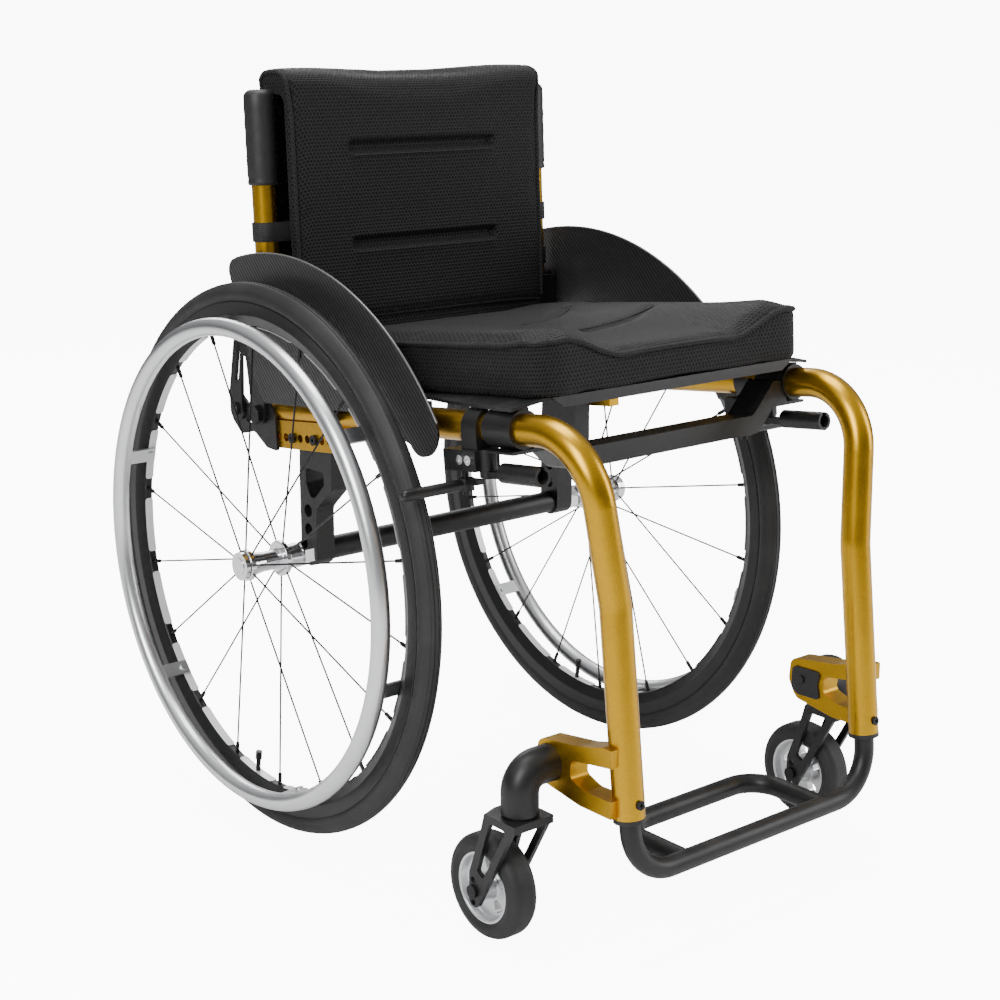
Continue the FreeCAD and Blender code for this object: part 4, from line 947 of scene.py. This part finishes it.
@dataclass
class BackUpholstery:
    """The padded back, turned over the top bar, with piped edges and two sewn slots."""

    half: float = 0.174
    front: float = -0.036
    thickness: float = 0.019
    bottom: float = 0.092
    top: float = 0.3655
    cap_rear: float = 0.021
    cap_low: float = 0.336
    skirt_drop: float = 0.052
    slots: tuple[float, ...] = (0.279, 0.1765)
    slot_half: float = 0.099
    slot_depth: float = 0.0085
    dip: float = 0.006
    arch: float = 0.013
    flap_low: float = 0.154

    def outline(self) -> list[tuple[float, float]]:
        """The side view of the padded part: points (y, z) in order."""
        back = self.front + self.thickness
        middle = (self.front + 0.002 + self.cap_rear) / 2
        wide = (self.cap_rear - self.front - 0.002) / 2
        arch = []
        for k in range(9):
            angle = math.pi - math.pi * k / 8
            arch.append((middle + wide * math.cos(angle),
                         self.top - 0.003 - self.arch + self.arch * math.sin(angle)))
        return [(self.front + 0.002, self.bottom), *arch, (self.cap_rear, self.cap_low),
                (back + 0.001, self.cap_low), (back, self.cap_low - 0.006), (back, self.bottom)]

    def padding(self) -> Piece:
        """The stuffed part: its side view swept across, dipped along the top, and puffed."""
        outline = self.outline()
        deselect()
        bpy.ops.mesh.primitive_circle_add(vertices=len(outline), radius=0.01, fill_type="NGON")
        pad = started("back_padding")
        side = self.half - 0.002
        for vertex, (y, z) in zip(pad.data.vertices, outline):
            vertex.co = (-side, y, z)
        choose(pad, "FACE", lambda face: True)
        bpy.ops.mesh.extrude_region_move(TRANSFORM_OT_translate={"value": (2 * side, 0, 0)})
        bpy.ops.mesh.select_all(action="SELECT")
        bpy.ops.mesh.normals_make_consistent(inside=False)
        finish_edit()
        remesh(pad, 0.004)
        rows = corners_of(pad)
        dip = self.dip * (1 - step(np.abs(rows[:, 0]), 0.02, 0.15))
        rows[:, 2] -= dip * step(rows[:, 2], 0.30, self.top)
        set_corners(pad, rows)
        puff(pad, 0.0042, 4.0, 0.003)
        modify(pad, "SUBSURF", levels=1, render_levels=1)
        rows = corners_of(pad)
        facing = rows[:, 1] < self.front + self.thickness * 0.5
        for height in self.slots:
            across = 1 - step(np.abs(rows[:, 0]), self.slot_half - 0.006, self.slot_half + 0.003)
            near = 1 - step(np.abs(rows[:, 2] - height), 0.0030, 0.0080)
            rows[:, 1] += self.slot_depth * across * near * facing
            lift = np.exp(-((rows[:, 2] - height) / 0.02) ** 2) * across
            rows[:, 1] -= 0.0012 * lift * facing
        set_corners(pad, rows)
        return pad

    def flap(self) -> Piece:
        """The tail that hangs behind the top bar, a thin sheet between the straps."""
        deselect()
        bpy.ops.mesh.primitive_grid_add(x_subdivisions=28, y_subdivisions=20, size=1)
        sheet = started("back_flap")
        rows = corners_of(sheet)
        across, down = rows[:, 0] + 0.5, rows[:, 1] + 0.5
        half = self.half - 0.007
        placed = np.empty_like(rows)
        placed[:, 0] = (across * 2 - 1) * half
        placed[:, 2] = self.flap_low + (self.cap_low + 0.006 - self.flap_low) * down
        wave = 0.0006 * np.sin(across * 23.0 + down * 5.0) * (1 - down)
        placed[:, 1] = self.cap_rear - 0.002 + wave
        set_corners(sheet, placed)
        modify(sheet, "SOLIDIFY", thickness=0.0032, offset=0.0)
        modify(sheet, "BEVEL", width=0.0008, segments=2, limit_method="ANGLE")
        return sheet

    def skirt(self) -> Piece:
        """The soft lower edge that closes the gap between the pad and the cushion."""
        deselect()
        bpy.ops.mesh.primitive_grid_add(x_subdivisions=40, y_subdivisions=8, size=1)
        sheet = started("back_skirt")
        rows = corners_of(sheet)
        across, down = rows[:, 0] * 2, 0.5 - rows[:, 1]
        placed = np.empty_like(rows)
        placed[:, 0] = across * (self.half - 0.006)
        placed[:, 1] = self.front + 0.0085 + 0.0006 * np.sin(across * 11.0) * down
        placed[:, 2] = self.bottom + 0.008 - self.skirt_drop * down
        set_corners(sheet, placed)
        modify(sheet, "SOLIDIFY", thickness=0.006, offset=0.0)
        modify(sheet, "BEVEL", width=0.0018, segments=2, limit_method="ANGLE")
        return sheet

    def edge_line(self, pad: Piece, side: Side) -> list[Vector]:
        """The piping along one upright edge and over the top, laid on the pad.

        Args:
            pad: the stuffed part.
            side: which edge.

        Returns:
            Points from the foot, over the top, to the end of the turn-over.
        """
        x = side.value * (self.half + 0.004)
        aims = [Vector((x, self.front - 0.006, self.bottom + 0.006 + 0.0195 * k))
                for k in range(12)]
        aims += [Vector((x, y, z)) for y, z in self.outline()[1:11]]
        return laid_on(pad, aims, 0.0013)

    def foot_line(self, pad: Piece) -> list[Vector]:
        """The piping along the foot of the pad, laid on it."""
        reach = self.half - 0.006
        return laid_on(pad, [Vector((x, self.front - 0.004, self.bottom - 0.004))
                             for x in np.linspace(-reach, reach, 15)])

    def slot_lips(self, pad: Piece) -> list[Piece]:
        """The sewn lip along the lower edge of each slot.

        Args:
            pad: the stuffed part.

        Returns:
            One cord for each slot.
        """
        reach, lips = self.slot_half - 0.004, []
        for number, height in enumerate(self.slots):
            aims = [Vector((x, self.front - 0.002, height - 0.0095))
                    for x in np.linspace(-reach, reach, 13)]
            lips.append(tube_along(f"back_slot_lip_{number}", laid_on(pad, aims), 0.0011))
        return lips

    def laid(self, point: Vector, normal: Vector) -> tuple[float, float]:
        """Where a point of the back lies on its flat cloth."""
        if abs(normal.x) > 0.75:
            return point.y, point.z
        return point.x, point.z + point.y - self.front

    def build(self) -> None:
        """Make the back upholstery, on the backrest."""
        pad = self.padding()
        skirt = self.skirt()
        pieces = [pad, self.flap(), skirt, *self.slot_lips(pad),
                  tube_along("back_piping_foot", self.foot_line(pad), 0.0019)]
        pieces += [tube_along(f"back_piping_{side.word}", self.edge_line(pad, side), 0.0024)
                   for side in Side]
        for piece in pieces:
            lay_cloth(piece, self.laid)
            (PIPING if "piping" in piece.name or "lip" in piece.name else MESH).cover(piece)
            settle(piece, BACKREST)
            smooth(piece, 60.0)
            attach(piece, "backrest")
        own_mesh(skirt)
        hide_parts("back_pad")
        log.info("back upholstery: %d faces", len(pad.data.polygons))


@dataclass
class CaneSleeves:
    """The padded pockets that slip over the tops of the canes."""

    cane_x: float = 0.1855
    bottom: float = 0.243
    top: float = 0.341
    radius: float = 0.016
    bore: float = 0.0127

    def sleeve(self, side: Side) -> Piece:
        """One sleeve: a closed outline spun about the cane, slightly creased."""
        rise = self.top - self.bottom
        crown, roof = 0.0085, rise - 0.0068
        profile = [(0.0, self.bore), (0.0, self.radius - 0.0012), (0.0008, self.radius - 0.0002),
                   (0.004, self.radius), (0.006, self.radius - 0.0007), (0.009, self.radius)]
        profile += [(0.02 + (rise - 0.04) * k / 8, self.radius + 0.0003 * math.sin(k * 2.4))
                    for k in range(9)]
        profile += [(rise - crown + crown * math.sin(math.pi / 12 * k),
                     self.radius - crown + crown * math.cos(math.pi / 12 * k))
                    for k in range(1, 7)]
        profile += [(rise - 0.0003, 0.003), (roof, 0.003), (roof, self.bore)]
        made = spun(f"cane_sleeve_{side.word}", profile, Vector((0, 0, 0)), 48)
        upright = Matrix.Rotation(math.radians(-90), 4, "Y")
        lift = Matrix.Translation((side.value * self.cane_x, 0, self.bottom))
        settle(made, lift @ upright)
        return made

    def build(self) -> None:
        """Make both sleeves, on the backrest."""
        for side in Side:
            made = self.sleeve(side)
            seam = tube_along(
                f"sleeve_seam_{side.word}",
                [Vector((side.value * (self.cane_x + 0.002), self.radius * 0.99, z))
                 for z in np.linspace(self.bottom + 0.002, self.top - 0.012, 9)], 0.0007)
            for piece in (made, seam):
                SLEEVE.cover(piece)
                settle(piece, BACKREST)
                smooth(piece, 50.0)
                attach(piece, "backrest")
            if side is Side.LEFT:
                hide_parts("cane_sleeves")
        log.info("cane sleeves")


@dataclass
class BackStraps:
    """The tension tapes that run round both canes, each closed by a hook-and-loop patch."""

    cane_x: float = 0.1855
    inner: float = 0.0128
    thickness: float = 0.0017
    bands: tuple[tuple[float, float], ...] = ((0.132, 0.020), (0.184, 0.020))

    def band(self, number: int, low: float, width: float) -> Piece:
        """One tape: a ring parted into a racetrack, raised to its width and thickened."""
        deselect()
        bpy.ops.mesh.primitive_circle_add(vertices=64, radius=self.inner + self.thickness / 2)
        tape = started(f"back_strap_{number}")
        for vertex in tape.data.vertices:
            if abs(vertex.co.x) > 1e-4:
                vertex.co.x += math.copysign(self.cane_x, vertex.co.x)
            vertex.co.z = low
        choose(tape, "EDGE", lambda edge: True)
        bpy.ops.mesh.extrude_region_move(TRANSFORM_OT_translate={"value": (0, 0, width)})
        bpy.ops.mesh.select_all(action="SELECT")
        bpy.ops.mesh.normals_make_consistent(inside=False)
        finish_edit()
        modify(tape, "SOLIDIFY", thickness=self.thickness, offset=0.0)
        modify(tape, "BEVEL", width=0.0005, segments=2, limit_method="ANGLE")
        return tape

    def patch(self, number: int, low: float, width: float) -> Piece:
        """The overlapping end of a tape, sewn on behind."""
        deselect()
        middle = (0.03 * (number - 1), self.inner + self.thickness + 0.0009, low + width / 2)
        bpy.ops.mesh.primitive_cube_add(size=1, location=middle,
                                        scale=(0.085, 0.0012, width - 0.001))
        made = started(f"strap_patch_{number}")
        round_edges(made, 0.0004, 2)
        return made

    def build(self) -> None:
        """Make every tape with its patch, on the backrest."""
        made = []
        for number, (low, width) in enumerate(self.bands):
            made += [self.band(number, low, width), self.patch(number, low, width)]
        for piece in made:
            lay_cloth(piece, lambda point, normal: (point.x + point.y, point.z))
            TAPE.cover(piece)
            settle(piece, BACKREST)
            smooth(piece, 40.0)
            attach(piece, "backrest")
        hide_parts("back_straps")
        log.info("back straps: %d", len(self.bands))


# ---------------------------------------------------------------- the wheels

@dataclass
class RearTyre:
    """A slick tyre with a grooved tread and a clear step to the rim."""

    track: float = 0.237
    radius: float = 0.295
    section: float = 0.0123
    bead: float = 0.0095

    def profile(self) -> list[tuple[float, float]]:
        """The section as points (offset, radius), from one bead over the tread to the other."""
        mid = self.radius - self.section
        half = [(self.bead, mid - 0.0072), (self.bead + 0.0012, mid - 0.0052)]
        for k in range(7):
            angle = math.radians(-18 + 14 * k)
            half.append((self.section * math.cos(angle), mid + self.section * math.sin(angle)))
        tread = []
        for offset, depth in ((0.0066, 0.0), (0.0062, 0.0007), (0.0054, 0.0007), (0.005, 0.0),
                              (0.0030, 0.0), (0.0027, 0.0007), (0.0019, 0.0007), (0.0016, 0.0)):
            rise = math.sqrt(self.section ** 2 - offset ** 2)
            tread.append((offset, mid + rise - depth))
        right = half[:6] + tread
        return right + [(-offset, radius) for offset, radius in reversed(right)]

    def build(self, side: Side) -> None:
        """Make one tyre, on its wheel.

        Args:
            side: which side of the chair.
        """
        centre = Vector((side.value * self.track, AXLE.y, AXLE.z))
        tyre = spun(f"rear_tyre_{side.word}", self.profile(), centre, 144)
        smooth(tyre, 50.0)
        RUBBER.cover(tyre)
        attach(tyre, f"rear_wheel_{side.word}")
        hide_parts(f"tyre_{side.word}")
        log.info("rear tyre %s", side.word)


@dataclass
class RimFilms:
    """Plain silver films with round ends on the inner face of the rim, one between two spokes."""

    track: float = 0.237
    reach: float = 0.2503
    count: int = 18
    width: float = 0.0095
    thickness: float = 0.0003
    corner: float = 0.003
    span: float = 14.5
    start: float = 12.5

    def film(self, side: Side, angle: float) -> Piece:
        """One film: a thin box with rounded corners, bent round the rim.

        Args:
            side: which side of the chair.
            angle: the middle of the film, in degrees up from the front.

        Returns:
            The film.
        """
        length = math.radians(self.span) * self.reach
        deselect()
        bpy.ops.mesh.primitive_cube_add(size=1, scale=(self.width, length, self.thickness))
        made = started("rim_film")
        round_edges(made, self.corner, 3, upright=True)
        choose(made, "EDGE", lambda edge: True)
        for place in np.linspace(-0.4, 0.4, 9) * length:
            bpy.ops.mesh.select_all(action="SELECT")
            bpy.ops.mesh.bisect(plane_co=(0, place, 0), plane_no=(0, 1, 0))
        finish_edit()
        centre = Vector((side.value * self.track, AXLE.y, AXLE.z))
        for vertex in made.data.vertices:
            turn = math.radians(angle) + vertex.co.y / self.reach
            radius = self.reach - self.thickness - vertex.co.z
            vertex.co = centre + Vector((vertex.co.x, -radius * math.cos(turn),
                                         radius * math.sin(turn)))
        return made

    def build(self, side: Side) -> None:
        """Make one wheel's films as one piece, on its wheel.

        Args:
            side: which side of the chair.
        """
        pitch = 360 / self.count
        films = [self.film(side, self.start + pitch * (k + 0.5)) for k in range(self.count)]
        made = joined(f"rim_films_{side.word}", films)
        SILVER_FILM.cover(made)
        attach(made, f"rear_wheel_{side.word}")
        log.info("rim films %s", side.word)


@dataclass
class GuardEdge:
    """A painted highlight: a pale glossy cord along the arch of a side guard, where its edge
    catches the light.
    """

    arc: float = 0.3218
    plane: float = 0.21005
    first: float = -0.262
    last: float = 0.084

    def build(self, side: Side) -> None:
        """Make one painted highlight line along the guard's edge, on the frame.

        Args:
            side: which side of the chair.
        """
        line = []
        for y in np.linspace(self.first, self.last, 33):
            height = math.sqrt(self.arc ** 2 - y ** 2)
            line.append(Vector((side.value * self.plane, AXLE.y + y, AXLE.z + height)))
        # A pale cord stands in for the light caught along the guard's edge: a painted highlight.
        edge = tube_along(f"guard_edge_{side.word}", line, 0.0013)
        GUARD_HIGHLIGHT_PAINT.cover(edge)
        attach(edge, "frame")
        log.info("guard edge %s", side.word)


# ---------------------------------------------------------------- the studio

@dataclass(frozen=True)
class PaleFloor(Finish):
    """A floor of two near whites, with a glow that only the camera sees."""

    name: str = "studio_floor"

    def dress(self, graph: Graph, shader: Node, place: Socket) -> None:
        """Mix the whites by a slow noise."""
        tone = graph.noise(place, 3.0, 2.0)
        ray = graph.add("ShaderNodeLightPath").outputs["Is Camera Ray"]
        graph.fill(shader, {
            "Base Color": graph.mix(tone, (0.86, 0.86, 0.86), (0.9, 0.9, 0.9)),
            "Roughness": 0.9,
            "Emission Color": (1.0, 1.0, 1.0),
            "Emission Strength": graph.math("MULTIPLY", ray, 9.5)})


@dataclass(frozen=True)
class Lamp:
    """One soft light."""

    name: str
    place: tuple[float, float, float]
    size: tuple[float, float]
    power: float
    aim: tuple[float, float, float] = (0.0, -0.05, 0.4)

    def build(self) -> None:
        """Hang the light and aim it."""
        data = bpy.data.lights.new(self.name, "AREA")
        data.shape = "RECTANGLE"
        data.size, data.size_y = self.size
        data.energy = self.power
        light = bpy.data.objects.new(self.name, data)
        bpy.context.scene.collection.objects.link(light)
        light.location = self.place
        away = Vector(self.place) - Vector(self.aim)
        light.rotation_euler = away.to_track_quat("Z", "Y").to_euler()


@dataclass
class Studio:
    """The pale floor, the soft lights and the camera."""

    eye: tuple[float, float, float] = (-1.2442, -1.4990, 0.8363)
    azimuth: float = -39.677
    elevation: float = 14.218
    roll: float = -0.112
    lens: float = 66.26
    lamps: tuple[Lamp, ...] = (
        Lamp("key", (-2.6, -1.2, 2.2), (1.2, 2.0), 85.0),
        Lamp("fill", (2.4, -2.0, 1.4), (1.0, 2.2), 45.0),
        Lamp("top", (0.0, 0.3, 3.0), (2.0, 1.2), 60.0),
        Lamp("rear", (1.2, 2.6, 2.0), (1.8, 1.4), 40.0),
    )

    def camera(self) -> None:
        """The camera, level but for a slight roll."""
        turn, lift, roll = (math.radians(v) for v in (self.azimuth, self.elevation, self.roll))
        back = Vector((math.sin(turn) * math.cos(lift), -math.cos(turn) * math.cos(lift),
                       math.sin(lift)))
        level = Vector((math.cos(turn), math.sin(turn), 0.0))
        over = back.cross(level)
        right = level * math.cos(roll) + over * math.sin(roll)
        upward = back.cross(right)
        data = bpy.data.cameras.new("camera")
        data.lens, data.sensor_width = self.lens, 36.0
        camera = bpy.data.objects.new("camera", data)
        bpy.context.scene.collection.objects.link(camera)
        camera.matrix_world = (Matrix.Translation(self.eye)
                               @ Matrix((right, upward, back)).transposed().to_4x4())
        bpy.context.scene.camera = camera

    def floor(self) -> None:
        """A wide pale floor."""
        deselect()
        bpy.ops.mesh.primitive_circle_add(vertices=96, radius=9.0, fill_type="NGON")
        floor = started("studio_floor")
        PaleFloor().cover(floor)

    def sky(self) -> None:
        """White behind the chair, and a softer glow from above for the reflections."""
        world = bpy.data.worlds.new("studio")
        bpy.context.scene.world = world
        world.use_nodes = True
        graph = Graph(world.node_tree)
        backdrop = world.node_tree.nodes["Background"]
        ray = graph.add("ShaderNodeLightPath").outputs["Is Camera Ray"]
        ways = graph.add("ShaderNodeTexCoord").outputs["Generated"]
        height = graph.vector("DOT_PRODUCT", ways, (0.0, 0.0, 1.0))
        glow = graph.mix(graph.ease(height, -0.1, 0.9), (0.1, 0.1, 0.103), (0.7, 0.7, 0.71))
        graph.fill(backdrop, {"Color": graph.mix(ray, glow, (1.0, 1.0, 1.0)),
                              "Strength": graph.math("MULTIPLY_ADD", ray, 9.0, 1.0)})

    def build(self) -> None:
        """Set the studio up round the chair."""
        self.camera()
        self.floor()
        self.sky()
        for lamp in self.lamps:
            lamp.build()
        log.info("studio with %d lights", len(self.lamps))


def main() -> None:
    """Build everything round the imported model, one sub-assembly at a time."""
    logging.basicConfig(level=logging.INFO, format="%(name)s: %(message)s")
    Studio().build()
    dress_nodes()
    SeatCushion().build()
    BackUpholstery().build()
    CaneSleeves().build()
    BackStraps().build()
    for side in Side:
        RearTyre().build(side)
        RimFilms().build(side)
        # The last of these is a painted highlight along each side guard's edge.
        GuardEdge().build(side)


if __name__ == "__main__":
    main()
